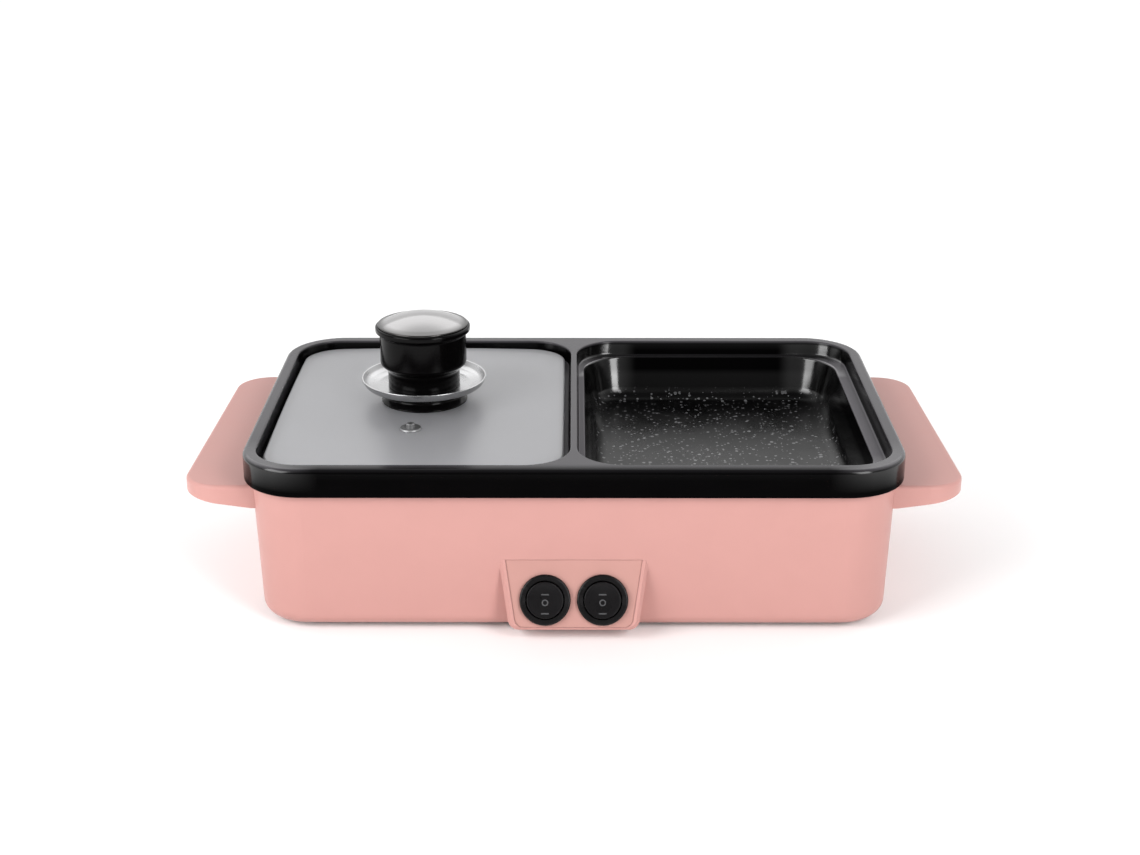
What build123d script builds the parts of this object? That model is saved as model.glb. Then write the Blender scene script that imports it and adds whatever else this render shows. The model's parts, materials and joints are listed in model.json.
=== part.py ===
from build123d import *
import os
from math import cos, radians, sin, sqrt, tan

os.makedirs("parts", exist_ok=True)

# Twin-compartment electric hot pot and grill. Millimetres, +Z up, +X to the right,
# -Y towards the switches. Every piece is first laid out about the middle of the tray's
# rim, with z = 0 on the table, and then moved so that the origin lies under the middle
# of the whole object.

# Tray, cast in one piece
TRAY_LENGTH = 302.6
TRAY_WIDTH = 193.6
TRAY_CORNER = 29.0
LIP_Z = 82.0
RIM_HEIGHT = 13.4
RIM_ROUNDING = 4.3
MOUTH_ROUNDING = 1.2
LIP_SIDE = 5.9
LIP_END = 7.3
DIVIDER_WIDTH = 3.0
MOUTH_CORNER = 22.0
MOUTH_LEAN = 1.7
DIVIDER_LEAN_WIDTH = 0.6
LEDGE_DROP = 7.3
LEDGE_SIDE = 6.0
LEDGE_END = 3.6
POT_DIVIDER_LEDGE = 6.0
GRILL_DIVIDER_LEDGE = 3.3
TRAY_WALL = 2.6
TRAY_FLOOR = 3.0
POT_DEPTH = 40.0
GRILL_DEPTH = 29.0
POT_DRAFT = 8.0
GRILL_DRAFT = 14.0
POT_FLOOR_ROUNDING = 10.0
GRILL_FLOOR_ROUNDING = 8.0
SKIRT_WALL = 1.7
SKIRT_ROUNDING = 0.7

# Housing with its handles
HOUSING_GAP = 1.65
HOUSING_WALL = 2.6
HOUSING_LEAN = 2.5
HOUSING_BOTTOM = 2.0
HOUSING_FOOT_ROUNDING = 6.5
HOUSING_INNER_ROUNDING = 4.0
FLANGE_THICKNESS = 6.0
FLANGE_WIDTH = 8.0
COVER_MARGIN = 2.0
HANDLE_PROJECTION = 32.2
HANDLE_SPAN = 153.5
HANDLE_CORNER = 17.0
HANDLE_TAPER = 3.0
HANDLE_TOP_Z = 66.2
HANDLE_ROOT_HEIGHT = 10.9
HANDLE_TIP_HEIGHT = 6.4
HANDLE_WALL = 2.4
HANDLE_SKIN = 2.6
HANDLE_EDGE_ROUNDING = 1.6
HANDLE_RIB = 1.6
HANDLE_RIB_COUNT = 5

# Switch pod and its panel
POD_BOTTOM_Z = 6.6
POD_TOP_Z = 36.6
POD_TILT = 20.0
POD_TOP_WIDTH = 68.4
POD_BOTTOM_WIDTH = 58.6
POD_CORNER = 5.0
POD_BEVEL = 1.5
POD_DEPTH = 18.0
PANEL_FRAME = 3.0
PANEL_BOTTOM_MARGIN = 1.2
PANEL_THICKNESS = 2.0
PANEL_RECESS = 0.4
PANEL_CORNER = 4.0
PANEL_GAP = 0.1
PANEL_SEAT = 2.2
WINDOW_WIDTH = 48.0
WINDOW_LOW = 3.3
WINDOW_HIGH = 25.0
WINDOW_CORNER = 3.0
WINDOW_DEPTH = 30.0

# Rocker switches
SWITCH_SPACING = 26.1
SWITCH_HEIGHT = 13.7
BEZEL_RADIUS = 11.65
BEZEL_THICKNESS = 2.0
BEZEL_ROUNDING = 0.9
BARREL_RADIUS = 9.9
BARREL_DEPTH = 8.0
PANEL_HOLE_GAP = 0.1
OPENING_RADIUS = 9.0
OPENING_DEPTH = 6.6
SWITCH_BODY_WIDTH = 17.0
SWITCH_BODY_HEIGHT = 12.4
SWITCH_BODY_DEPTH = 15.0
ROCKER_RADIUS = 8.4
ROCKER_SWEEP_RADIUS = 8.65
ROCKER_LOW = 5.0
ROCKER_MIDDLE = 2.2
ROCKER_END = 3.1
PIVOT_DEPTH = 0.8
PIVOT_RADIUS = 1.2
PIVOT_GAP = 0.05
PIVOT_REACH = 9.6
TAB_WIDTH = 4.8
TAB_THICKNESS = 0.8
TAB_LENGTH = 7.0
TAB_ROOT = 2.0
TAB_SPACING = 3.6

# Elements and what holds them
HEATER_RADIUS = 3.3
HEATER_SIDE_INSET = 22.0
HEATER_END_INSET = 36.0
HEATER_BEND = 16.0
HEATER_TAIL_SPREAD = 16.0
HEATER_TAIL_BEND = 10.0
HEATER_TAIL_REACH = 12.0
HEATER_TAIL_LENGTH = 14.0
BEAD_RADIUS = 3.0
BEAD_LENGTH = 5.0
PIN_RADIUS = 1.1
PIN_LENGTH = 5.0
CLAMP_WIDTH = 12.0
CLAMP_THICKNESS = 1.5
CLAMP_CLEARANCE = 0.8
CLAMP_OVERHANG = 5.0
CLAMP_BOSS_RADIUS = 4.5
THREAD_GAP = 0.05

# Screws: shank radius, head radius, head height, slot width and slot depth
CLAMP_SCREW_RADIUS = 1.9
CLAMP_SCREW_LENGTH = 7.0
STRAP_SCREW_RADIUS = 1.4
STRAP_SCREW_LENGTH = 5.5
BASE_SCREW_RADIUS = 1.4
BASE_SCREW_LENGTH = 10.0
PILLAR_SCREW_RADIUS = 1.9
PILLAR_SCREW_LENGTH = 9.0
HEAD_RADIUS_SHARE = 1.9
HEAD_HEIGHT_SHARE = 1.05
SLOT_WIDTH_SHARE = 0.4
SLOT_DEPTH_SHARE = 0.5

# Thermostats
THERMOSTAT_CAP_RADIUS = 8.0
THERMOSTAT_CAP_HEIGHT = 4.5
THERMOSTAT_BODY_RADIUS = 7.0
THERMOSTAT_BODY_HEIGHT = 5.0
STRAP_LENGTH = 31.0
STRAP_WIDTH = 17.0
STRAP_THICKNESS = 0.8
STRAP_SCREW_SPACING = 24.0
STRAP_BOSS_RADIUS = 3.2
THERMOSTAT_GAP = 0.2
THERMOSTAT_TAB_LENGTH = 6.0
THERMOSTAT_TAB_WIDTH = 6.3
THERMOSTAT_TAB_Z = 1.5

# Heat shield, pillars and base
SHIELD_Z = 21.2
SHIELD_THICKNESS = 0.8
SHIELD_SIDE_MARGIN = 10.0
SHIELD_WIDTH = 114.0
SHIELD_CORNER = 18.0
SHIELD_RIM = 6.0
SHIELD_SLOT_LENGTH = 20.0
SHIELD_SLOT_WIDTH = 44.0
SHIELD_SLOT_CORNER = 4.0
PILLAR_FLATS = 8.0
HEX_SIDES = 6
PILLAR_SPACING = 66.0
PILLAR_STUD_RADIUS = 2.4
PILLAR_STUD_LENGTH = 9.0
PILLAR_BOSS_RADIUS = 5.5
WASHER_RADIUS = 5.0
WASHER_THICKNESS = 0.8
HOLE_GAP = 0.2
LUG_REACH = 12.0
LUG_WIDTH = 5.0
COVER_THICKNESS = 2.0
COVER_Z = 3.5
COVER_GAP = 0.3
SCREW_EDGE = 4.0
SCREW_CORNER_INSET = 17.0
SCREW_POST_RADIUS = 3.5
SCREW_POST_HEIGHT = 8.0
VENT_LENGTH = 26.0
VENT_WIDTH = 3.0
VENT_PITCH = 8.0
VENT_COUNT = 7
VENT_OFFSET = 40.0
VENT_END_SHARE = 0.95
FOOT_RADIUS = 8.0
FOOT_TIP_RADIUS = 6.8
FOOT_STEM_RADIUS = 2.8
FOOT_BARB_RADIUS = 3.6
FOOT_BARB_HEIGHT = 2.0
FOOT_INSET = 20.0
FOOT_ROUNDING = 1.0

# Power inlet at the rear
INLET_X = 90.0
INLET_Z = 27.0
INLET_FLANGE_WIDTH = 31.0
INLET_FLANGE_HEIGHT = 25.0
INLET_FLANGE_THICKNESS = 2.0
INLET_FLANGE_CORNER = 2.5
INLET_BODY_WIDTH = 27.0
INLET_BODY_HEIGHT = 20.0
INLET_BODY_DEPTH = 18.5
INLET_RECESS_WIDTH = 24.2
INLET_RECESS_HEIGHT = 16.8
INLET_RECESS_DEPTH = 17.0
INLET_RECESS_CHAMFER = 5.0
INLET_PAD_MARGIN = 2.0
INLET_PAD_PROUD = 0.3
INLET_GAP = 0.15
INLET_PIN_SPACING = 14.0
INLET_PIN_OFFSET = 2.0
INLET_PIN_WIDTH = 2.0
INLET_PIN_HEIGHT = 4.0
INLET_PIN_LENGTH = 15.0
INLET_TAB_LENGTH = 7.0

# Terminal block and inner leads
BLOCK_LENGTH = 30.0
BLOCK_DEPTH = 16.0
BLOCK_HEIGHT = 12.0
BLOCK_REAR_GAP = 5.0
BLOCK_WAYS = 4
BLOCK_PITCH = 7.0
BLOCK_SCREW_RADIUS = 1.6
BLOCK_SCREW_SINK = 0.6
LEAD_RADIUS = 1.2
LEAD_BEND = 3.0
LEAD_DROP = 4.6
LEAD_STEP = 6.0
LEAD_TURN = 3.6
LEAD_LAYER = 4.0
LEFT_FEED_LANE = 21.6
RIGHT_FEED_LANE = 31.6
POT_RETURN_LANE = 15.6
GRILL_RETURN_LANE = 19.1
LEAD_FAN_REACH = 50.0
LEAD_GATHER_REACH = 30.0

# Lid and its knob
LID_GAP = 3.2
GLASS_EDGE = 3.4
GLASS_CROWN = 3.0
GLASS_THICKNESS = 4.0
GLASS_SEAT = 9.0
GLASS_ROUNDING = 0.9
GLASS_HOLE_RADIUS = 4.0
VENT_HOLE_X = -3.5
VENT_HOLE_Y = -41.0
VENT_HOLE_RADIUS = 2.6
EYELET_RADIUS = 5.2
EYELET_BORE_RADIUS = 1.3
EYELET_NECK_RADIUS = 2.1
EYELET_NECK_HEIGHT = 2.8
EYELET_BEVEL = 0.4
EYELET_THICKNESS = 0.7
EYELET_SEAT_GAP = 0.12
KNOB_BASE_RADIUS = 21.0
KNOB_BASE_TOP_RADIUS = 18.5
KNOB_BASE_HEIGHT = 7.0
KNOB_BASE_FLARE = 3.2
FLARE_SHARE = 0.72
GUARD_RADIUS = 30.5
GUARD_FLAT_RADIUS = 23.0
GUARD_RISE = 5.2
GUARD_THICKNESS = 0.8
GUARD_BOW_SHARE = 0.72
GUARD_SAG_SHARE = 0.26
GRIP_NECK_RADIUS = 17.5
GRIP_NECK_HEIGHT = 10.0
GRIP_RADIUS = 21.0
GRIP_STEP = 1.5
GRIP_HEIGHT = 30.5
GRIP_FLANGE_RADIUS = 23.0
GRIP_FLANGE_HEIGHT = 2.6
GRIP_FLANGE_ROUNDING = 1.0
CAP_RADIUS = 21.8
CAP_RISE = 5.5
CAP_THICKNESS = 1.0
KNOB_SCREW_RADIUS = 2.45
KNOB_SCREW_HEAD_RADIUS = 4.6
KNOB_SCREW_HEAD = 2.6
KNOB_SCREW_REACH = 17.0
KNOB_HOLE_GAP = 0.3
SEAL_RADIUS = 9.0
SEAL_THICKNESS = 0.8
KNOB_WASHER_THICKNESS = 1.5
KNOB_WASHER_GAP = 0.05
INSERT_RADIUS = 4.5
INSERT_LENGTH = 18.0
INSERT_SINK = 1.0

# One overrun for cuts that pass right through
OVERRUN = 1.0


class Outline:
    """A rounded rectangle seen from above, by its four sides and its corner radius."""

    def __init__(self, left, right, front, back, corner):
        self.left, self.right = left, right
        self.front, self.back = front, back
        self.corner = corner

    def inset(self, side, end, left=None):
        """The same outline drawn in at its sides (X) and ends (Y), or wider if negative."""
        left = side if left is None else left
        corner = self.corner - (side + end) / 2
        return Outline(self.left + left, self.right - side, self.front + end, self.back - end, corner)

    def mirrored(self):
        return Outline(-self.right, -self.left, self.front, self.back, self.corner)

    def middle_x(self):
        return (self.left + self.right) / 2

    def face(self, z):
        place = Pos(self.middle_x(), (self.front + self.back) / 2, z)
        return place * RectangleRounded(self.right - self.left, self.back - self.front, self.corner)

    def prism(self, low, high):
        return extrude(self.face(low), high - low)


def tub(low_outline, low, high_outline, high, rounding=0):
    """A solid that widens from one outline to another, with its bottom edge rounded."""
    solid = loft([low_outline.face(low), high_outline.face(high)])
    if rounding:
        solid = fillet(solid.faces().sort_by(Axis.Z)[0].edges(), rounding)
    return solid


def rod(radius, low, high, x=0, y=0):
    """An upright round bar between two heights."""
    return extrude(Pos(x, y, low) * Circle(radius), high - low)


def slab(left, right, front, back, low, high):
    """A plain block between six planes."""
    return extrude(Pos((left + right) / 2, (front + back) / 2, low)
                   * Rectangle(right - left, back - front), high - low)


def turned(points, x=0, y=0):
    """A closed (radius, height) outline of straight lines, turned about an upright axis."""
    section = make_face(Polyline(*[(r, 0, z) for r, z in points], close=True))
    return Pos(x, y, 0) * revolve(section, Axis.Z)


def screw_up(radius, length, seat, x, y, head_share=HEAD_RADIUS_SHARE):
    """A slotted pan-head screw whose head lies under the height seat, pointing up."""
    head_height = radius * HEAD_HEIGHT_SHARE
    head_radius = radius * head_share
    head = rod(head_radius, seat - head_height, seat, x, y)
    slot_low = seat - head_height - OVERRUN
    slot_high = seat - head_height * (1 - SLOT_DEPTH_SHARE)
    half_slot = radius * SLOT_WIDTH_SHARE / 2
    slot = slab(x - head_radius, x + head_radius, y - half_slot, y + half_slot, slot_low, slot_high)
    return head - slot + rod(radius, seat - head_height / 2, seat + length, x, y)


def group(pieces):
    """Separate solids kept together as one node."""
    return Compound([solid for piece in pieces for solid in piece.solids()])


def bent_tube(points, radius, bends):
    """A round tube along straight runs that are joined by arcs tangent to them."""
    path = FilletPolyline(*points, radius=bends)
    return sweep(Plane(origin=path @ 0, z_dir=path % 0) * Circle(radius), path)


# Heights and outlines that several pieces share
ledge_z = LIP_Z - LEDGE_DROP
housing_top = ledge_z - TRAY_WALL
pot_floor = LIP_Z - POT_DEPTH
grill_floor = LIP_Z - GRILL_DEPTH
flange_top = HOUSING_BOTTOM + FLANGE_THICKNESS
cover_top = COVER_Z + COVER_THICKNESS
shield_top = SHIELD_Z + SHIELD_THICKNESS

rim = Outline(-TRAY_LENGTH / 2, TRAY_LENGTH / 2, -TRAY_WIDTH / 2, TRAY_WIDTH / 2, TRAY_CORNER)
skirt_inside = rim.inset(SKIRT_WALL, SKIRT_WALL)
housing_high = skirt_inside.inset(HOUSING_GAP, HOUSING_GAP)
housing_low = housing_high.inset(HOUSING_LEAN, HOUSING_LEAN)
cover_margin = HOUSING_FOOT_ROUNDING + COVER_MARGIN
cover_outline = housing_low.inset(cover_margin, cover_margin)
cover_window = cover_outline.inset(FLANGE_WIDTH, FLANGE_WIDTH)
handle_reach = housing_high.right + HANDLE_PROJECTION


class Compartment:
    """Outlines and heights of one compartment, drawn on the right of the divider."""

    def __init__(self, side, depth, draft, rounding, divider_ledge):
        self.side = side
        self.floor = LIP_Z - depth
        self.under = self.floor - TRAY_FLOOR
        self.rounding = rounding
        half = DIVIDER_WIDTH / 2
        mouth = Outline(half, rim.right - LIP_SIDE, rim.front + LIP_END, rim.back - LIP_END, MOUTH_CORNER)
        ledge = mouth.inset(MOUTH_LEAN, MOUTH_LEAN, DIVIDER_LEAN_WIDTH)
        deep = ledge.inset(LEDGE_SIDE, LEDGE_END, divider_ledge)
        narrowing = (ledge_z - self.floor) * tan(radians(draft))
        bottom = deep.inset(narrowing, narrowing)
        outlines = [mouth, ledge, deep, bottom]
        if side < 0:
            outlines = [outline.mirrored() for outline in outlines]
        self.mouth, self.ledge, self.deep, self.bottom = outlines
        self.x = self.bottom.middle_x()

    def mouth_cut(self):
        """The space above the ledge."""
        return tub(self.ledge, ledge_z, self.mouth, LIP_Z)

    def cavity(self):
        """The space below the ledge."""
        return tub(self.bottom, self.floor, self.deep, ledge_z, self.rounding)

    def shell(self):
        """The outside of the walls round the deep part."""
        low = self.bottom.inset(-TRAY_WALL, -TRAY_WALL)
        high = self.deep.inset(-TRAY_WALL, -TRAY_WALL)
        return tub(low, self.under, high, ledge_z, self.rounding + TRAY_WALL)

    def clamp_places(self):
        """Two bosses, even about the middle, just inside the element's far leg."""
        far = heater_frame(self)[1]
        offset = abs(far - self.x) - HEATER_RADIUS - CLAMP_BOSS_RADIUS - CLAMP_CLEARANCE
        return [(self.x - offset, 0), (self.x + offset, 0)]

    def strap_places(self):
        return [(self.x, -STRAP_SCREW_SPACING / 2), (self.x, STRAP_SCREW_SPACING / 2)]

    def pillar_places(self):
        return [(self.x, -PILLAR_SPACING / 2), (self.x, PILLAR_SPACING / 2)]


pot = Compartment(-1, POT_DEPTH, POT_DRAFT, POT_FLOOR_ROUNDING, POT_DIVIDER_LEDGE)
grill = Compartment(1, GRILL_DEPTH, GRILL_DRAFT, GRILL_FLOOR_ROUNDING, GRILL_DIVIDER_LEDGE)
compartments = [pot, grill]
pillar_places = pot.pillar_places() + grill.pillar_places()
strap_z_drop = THERMOSTAT_CAP_HEIGHT
heater_drop = 2 * HEATER_RADIUS


def boss(compartment, place, low, radius, hole_radius, hole_length):
    """A cast boss under a floor, and the blind hole that is bored up into it."""
    x, y = place
    solid = rod(radius, low, compartment.under + TRAY_FLOOR / 2, x, y)
    hole = rod(hole_radius, low - OVERRUN, low + hole_length, x, y)
    return solid, hole


def make_tray():
    body = rim.prism(housing_top, LIP_Z)
    body = fillet(body.faces().sort_by(Axis.Z)[-1].edges(), RIM_ROUNDING)
    skirt_low = LIP_Z - RIM_HEIGHT
    skirt = rim.prism(skirt_low, housing_top)
    skirt = fillet(skirt.faces().sort_by(Axis.Z)[0].edges(), SKIRT_ROUNDING)
    body += skirt - skirt_inside.prism(skirt_low - OVERRUN, housing_top)
    for compartment in compartments:
        body += compartment.shell()
    holes = []
    for c in compartments:
        rows = []
        for place in c.clamp_places():
            rows.append((place, c.under - heater_drop, CLAMP_BOSS_RADIUS,
                         CLAMP_SCREW_RADIUS, CLAMP_SCREW_LENGTH - CLAMP_THICKNESS))
        for place in c.strap_places():
            rows.append((place, c.under - strap_z_drop, STRAP_BOSS_RADIUS,
                         STRAP_SCREW_RADIUS, STRAP_SCREW_LENGTH - STRAP_THICKNESS))
        for place in c.pillar_places():
            rows.append((place, shield_top, PILLAR_BOSS_RADIUS,
                         PILLAR_STUD_RADIUS, PILLAR_STUD_LENGTH - SHIELD_THICKNESS))
        for place, low, radius, screw_radius, reach in rows:
            solid, hole = boss(c, place, low, radius, screw_radius + THREAD_GAP, reach + THREAD_GAP)
            body += solid
            holes.append(hole)
    for hole in holes:
        body -= hole
    for compartment in compartments:
        body -= compartment.cavity()
        body -= compartment.mouth_cut()
    mouth_edges = body.edges().filter_by_position(Axis.Z, LIP_Z, LIP_Z)
    reach_x = rim.right - LIP_SIDE
    inner = [e for e in mouth_edges if abs(e.center().X) <= reach_x
             and abs(e.center().Y) <= rim.back - LIP_END]
    return fillet(inner, MOUTH_ROUNDING)


# The switch pod's face: a plane that leans back from the bottom edge of the pod
tilt = radians(POD_TILT)


def housing_front(z):
    """Where the front wall's outer surface lies at a height."""
    share = (z - HOUSING_BOTTOM) / (housing_top - HOUSING_BOTTOM)
    return housing_low.front - HOUSING_LEAN * share


pod_height = POD_TOP_Z - POD_BOTTOM_Z
pod_length = pod_height / cos(tilt)
pod_front = housing_front(POD_TOP_Z) - pod_height * tan(tilt)
pod_normal = (0, -cos(tilt), sin(tilt))
pod_plane = Plane(origin=(0, pod_front, POD_BOTTOM_Z), x_dir=(1, 0, 0), z_dir=pod_normal)


def trapezoid(low_width, high_width, low, high, corner):
    """A plate outline on the pod's face: wider at its top, rounded at its bottom corners."""
    points = [(-low_width / 2, low), (low_width / 2, low), (high_width / 2, high), (-high_width / 2, high)]
    sheet = make_face(Polyline(*points, close=True))
    return fillet(sheet.vertices().sort_by(Axis.Y)[:2], corner)


def pod_width(height):
    """The pod's width at a height along its face."""
    return POD_BOTTOM_WIDTH + (POD_TOP_WIDTH - POD_BOTTOM_WIDTH) * height / pod_length


def pod_block(depth, start=0):
    outline = trapezoid(POD_BOTTOM_WIDTH, POD_TOP_WIDTH, 0, pod_length, POD_CORNER)
    return pod_plane * extrude(Pos(0, 0, start) * outline, -depth)


def panel_outline(gap):
    low, high = PANEL_BOTTOM_MARGIN + gap, pod_length - gap
    low_width = pod_width(low) - 2 * (PANEL_FRAME + gap)
    high_width = pod_width(high) - 2 * (PANEL_FRAME + gap)
    return trapezoid(low_width, high_width, low, high, PANEL_CORNER)


def handle_plan(start_x, wall):
    """The right handle from above, less a wall: its outer edge draws in towards the back."""
    half = HANDLE_SPAN / 2 - wall
    reach = handle_reach - wall
    points = [(start_x, -half), (reach, -half), (reach - HANDLE_TAPER, half), (start_x, half)]
    sheet = make_face(Polyline(*points, close=True))
    return fillet(sheet.vertices().sort_by(Axis.X)[-2:], HANDLE_CORNER - wall)


def make_handle():
    """The right handle: a slab that thins outwards, hollow below, with cross ribs."""
    root_x = housing_high.right
    inner_x = root_x - HOUSING_WALL
    half = HANDLE_SPAN / 2
    low = HANDLE_TOP_Z - HANDLE_ROOT_HEIGHT
    solid = extrude(Pos(0, 0, low) * handle_plan(inner_x, 0), HANDLE_ROOT_HEIGHT)
    solid = fillet(solid.faces().sort_by(Axis.Z)[-1].edges(), HANDLE_EDGE_ROUNDING)
    tip_low = HANDLE_TOP_Z - HANDLE_TIP_HEIGHT
    wedge = [(root_x, 0, low), (handle_reach, 0, tip_low), (handle_reach, 0, low)]
    under = extrude(make_face(Polyline(*wedge, close=True)), half, both=True)
    solid -= under
    pocket_height = HANDLE_ROOT_HEIGHT - HANDLE_SKIN + OVERRUN
    cut = extrude(Pos(0, 0, low - OVERRUN) * handle_plan(inner_x, HANDLE_WALL), pocket_height)
    cut -= slab(0, root_x, -half, half, low - OVERRUN, HANDLE_TOP_Z)
    pitch = 2 * (half - HANDLE_WALL) / (HANDLE_RIB_COUNT + 1)
    for i in range(HANDLE_RIB_COUNT):
        y = HANDLE_WALL - half + pitch * (i + 1)
        cut -= slab(inner_x, handle_reach, y - HANDLE_RIB / 2, y + HANDLE_RIB / 2,
                    low - OVERRUN, HANDLE_TOP_Z)
    return solid - cut


def screw_places():
    """The base screws: four near the corners and one at each side."""
    x, y = cover_outline.right - SCREW_EDGE, cover_outline.back - SCREW_EDGE
    corner_x = x - SCREW_CORNER_INSET
    return [(-corner_x, -y), (corner_x, -y), (-corner_x, y), (corner_x, y), (-x, 0), (x, 0)]


inlet_top = INLET_Z + INLET_FLANGE_HEIGHT / 2 + INLET_PAD_MARGIN
inlet_pad_y = -housing_front(inlet_top) + INLET_PAD_PROUD


def make_housing():
    outside = tub(housing_low, HOUSING_BOTTOM, housing_high, housing_top, HOUSING_FOOT_ROUNDING)
    pod = pod_block(POD_DEPTH)
    front_edges = [e for e in pod.faces().sort_by(Axis.Y)[0].edges()
                   if e.center().Z < POD_TOP_Z - OVERRUN]
    pod = chamfer(front_edges, POD_BEVEL)
    trim = slab(-POD_TOP_WIDTH, POD_TOP_WIDTH, pod_front - POD_DEPTH, 0, HOUSING_BOTTOM, POD_TOP_Z)
    outside += pod & trim
    half_pad = INLET_FLANGE_WIDTH / 2 + INLET_PAD_MARGIN
    pad_low = INLET_Z - INLET_FLANGE_HEIGHT / 2 - INLET_PAD_MARGIN
    outside += slab(INLET_X - half_pad, INLET_X + half_pad, inlet_pad_y - HOUSING_WALL, inlet_pad_y,
                    pad_low, inlet_top)
    handle = make_handle()
    outside += handle
    outside += mirror(handle, Plane.YZ)
    low = housing_low.inset(HOUSING_WALL, HOUSING_WALL)
    high = housing_high.inset(HOUSING_WALL, HOUSING_WALL)
    body = outside - tub(low, flange_top, high, housing_top, HOUSING_INNER_ROUNDING)
    seat_depth = PANEL_THICKNESS + PANEL_RECESS
    body += pod_block(PANEL_SEAT, -seat_depth) & outside
    for x, y in screw_places():
        body += rod(SCREW_POST_RADIUS, flange_top - OVERRUN, flange_top + SCREW_POST_HEIGHT, x, y)
    body -= cover_window.prism(HOUSING_BOTTOM - OVERRUN, flange_top + OVERRUN)
    body -= cover_outline.inset(-COVER_GAP, -COVER_GAP).prism(HOUSING_BOTTOM - OVERRUN, cover_top)
    for x, y in screw_places():
        body -= rod(BASE_SCREW_RADIUS + THREAD_GAP, COVER_Z, COVER_Z + BASE_SCREW_LENGTH + THREAD_GAP, x, y)
    body -= pod_plane * extrude(Pos(0, 0, POD_BEVEL) * panel_outline(0), -seat_depth - POD_BEVEL)
    window = RectangleRounded(WINDOW_WIDTH, WINDOW_HIGH - WINDOW_LOW, WINDOW_CORNER)
    window_middle = (WINDOW_HIGH + WINDOW_LOW) / 2
    body -= pod_plane * extrude(Pos(0, window_middle, 0) * window, -WINDOW_DEPTH)
    cutout = Pos(INLET_X, 0, INLET_Z) * Box(
        INLET_BODY_WIDTH + 2 * INLET_GAP, TRAY_WIDTH, INLET_BODY_HEIGHT + 2 * INLET_GAP,
        align=(Align.CENTER, Align.MIN, Align.CENTER))
    body -= cutout
    return body


# Each switch is drawn on a plane of its own: z = 0 on the panel's front face
def switch_place(side):
    local = Pos(side * SWITCH_SPACING / 2, SWITCH_HEIGHT, -PANEL_RECESS)
    return pod_plane.location * local


def make_panel():
    plate = pod_plane * extrude(Pos(0, 0, -PANEL_RECESS) * panel_outline(PANEL_GAP), -PANEL_THICKNESS)
    for side in (-1, 1):
        hole = rod(BARREL_RADIUS + PANEL_HOLE_GAP, -PANEL_THICKNESS - OVERRUN, OVERRUN)
        plate -= switch_place(side) * hole
    return plate


def make_tabs():
    root = -SWITCH_BODY_DEPTH + TAB_ROOT
    tip = -SWITCH_BODY_DEPTH - TAB_LENGTH
    blades = []
    for step in (-1, 0, 1):
        y = step * TAB_SPACING
        blades.append(slab(-TAB_WIDTH / 2, TAB_WIDTH / 2,
                           y - TAB_THICKNESS / 2, y + TAB_THICKNESS / 2, tip, root))
    return blades


def make_switch_frame():
    bezel = rod(BEZEL_RADIUS, 0, BEZEL_THICKNESS)
    bezel = fillet(bezel.faces().sort_by(Axis.Z)[-1].edges(), BEZEL_ROUNDING)
    half_w, half_h = SWITCH_BODY_WIDTH / 2, SWITCH_BODY_HEIGHT / 2
    frame = bezel + rod(BARREL_RADIUS, -BARREL_DEPTH, 0)
    frame += slab(-half_w, half_w, -half_h, half_h, -SWITCH_BODY_DEPTH, -BARREL_DEPTH)
    frame -= rod(OPENING_RADIUS, -OPENING_DEPTH, BEZEL_THICKNESS + OVERRUN)
    bore = Pos(0, 0, -PIVOT_DEPTH) * Rot(0, 90, 0) * Cylinder(PIVOT_RADIUS + PIVOT_GAP, 2 * BARREL_RADIUS)
    frame -= bore
    for blade in make_tabs():
        frame -= blade
    return frame


def make_rocker():
    """A round rocker with a dished face, held within the sphere that it turns in."""
    dish_rise = ROCKER_END - ROCKER_MIDDLE
    dish_radius = (ROCKER_RADIUS ** 2 + dish_rise ** 2) / (2 * dish_rise)
    button = rod(ROCKER_RADIUS, -ROCKER_LOW, ROCKER_END)
    button &= Pos(0, 0, -PIVOT_DEPTH) * Sphere(ROCKER_SWEEP_RADIUS)
    dish = Pos(0, 0, ROCKER_MIDDLE + dish_radius) * Rot(0, 90, 0) * Cylinder(dish_radius, 2 * BEZEL_RADIUS)
    pins = Pos(0, 0, -PIVOT_DEPTH) * Rot(0, 90, 0) * Cylinder(PIVOT_RADIUS, 2 * PIVOT_REACH)
    return button - dish + pins


def heater_frame(c):
    """The rectangle that an element's tube runs round, and where its tails point."""
    toward = -c.side
    outer = c.bottom.right if c.side > 0 else c.bottom.left
    divider = c.bottom.left if c.side > 0 else c.bottom.right
    far = outer - c.side * HEATER_SIDE_INSET
    near = divider + c.side * (HEATER_TAIL_LENGTH + HEATER_SIDE_INSET) / 2
    leg = rim.back - HEATER_END_INSET - HEATER_RADIUS
    tail = near + toward * HEATER_TAIL_REACH
    return near, far, leg, tail


def make_heater(c):
    near, far, leg, tail = heater_frame(c)
    z = c.under - HEATER_RADIUS
    spread = HEATER_TAIL_SPREAD
    points = [(tail, -spread, z), (near, -spread, z), (near, -leg, z), (far, -leg, z),
              (far, leg, z), (near, leg, z), (near, spread, z), (tail, spread, z)]
    bends = [HEATER_TAIL_BEND, HEATER_BEND, HEATER_BEND, HEATER_BEND, HEATER_BEND, HEATER_TAIL_BEND]
    return bent_tube(points, HEATER_RADIUS, bends)


def along_x(radius, start, reach, y, z):
    """A round bar that runs from start by reach, which may be negative, along X."""
    middle = start + reach / 2
    return Pos(middle, y, z) * Rot(0, 90, 0) * Cylinder(radius, abs(reach))


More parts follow.
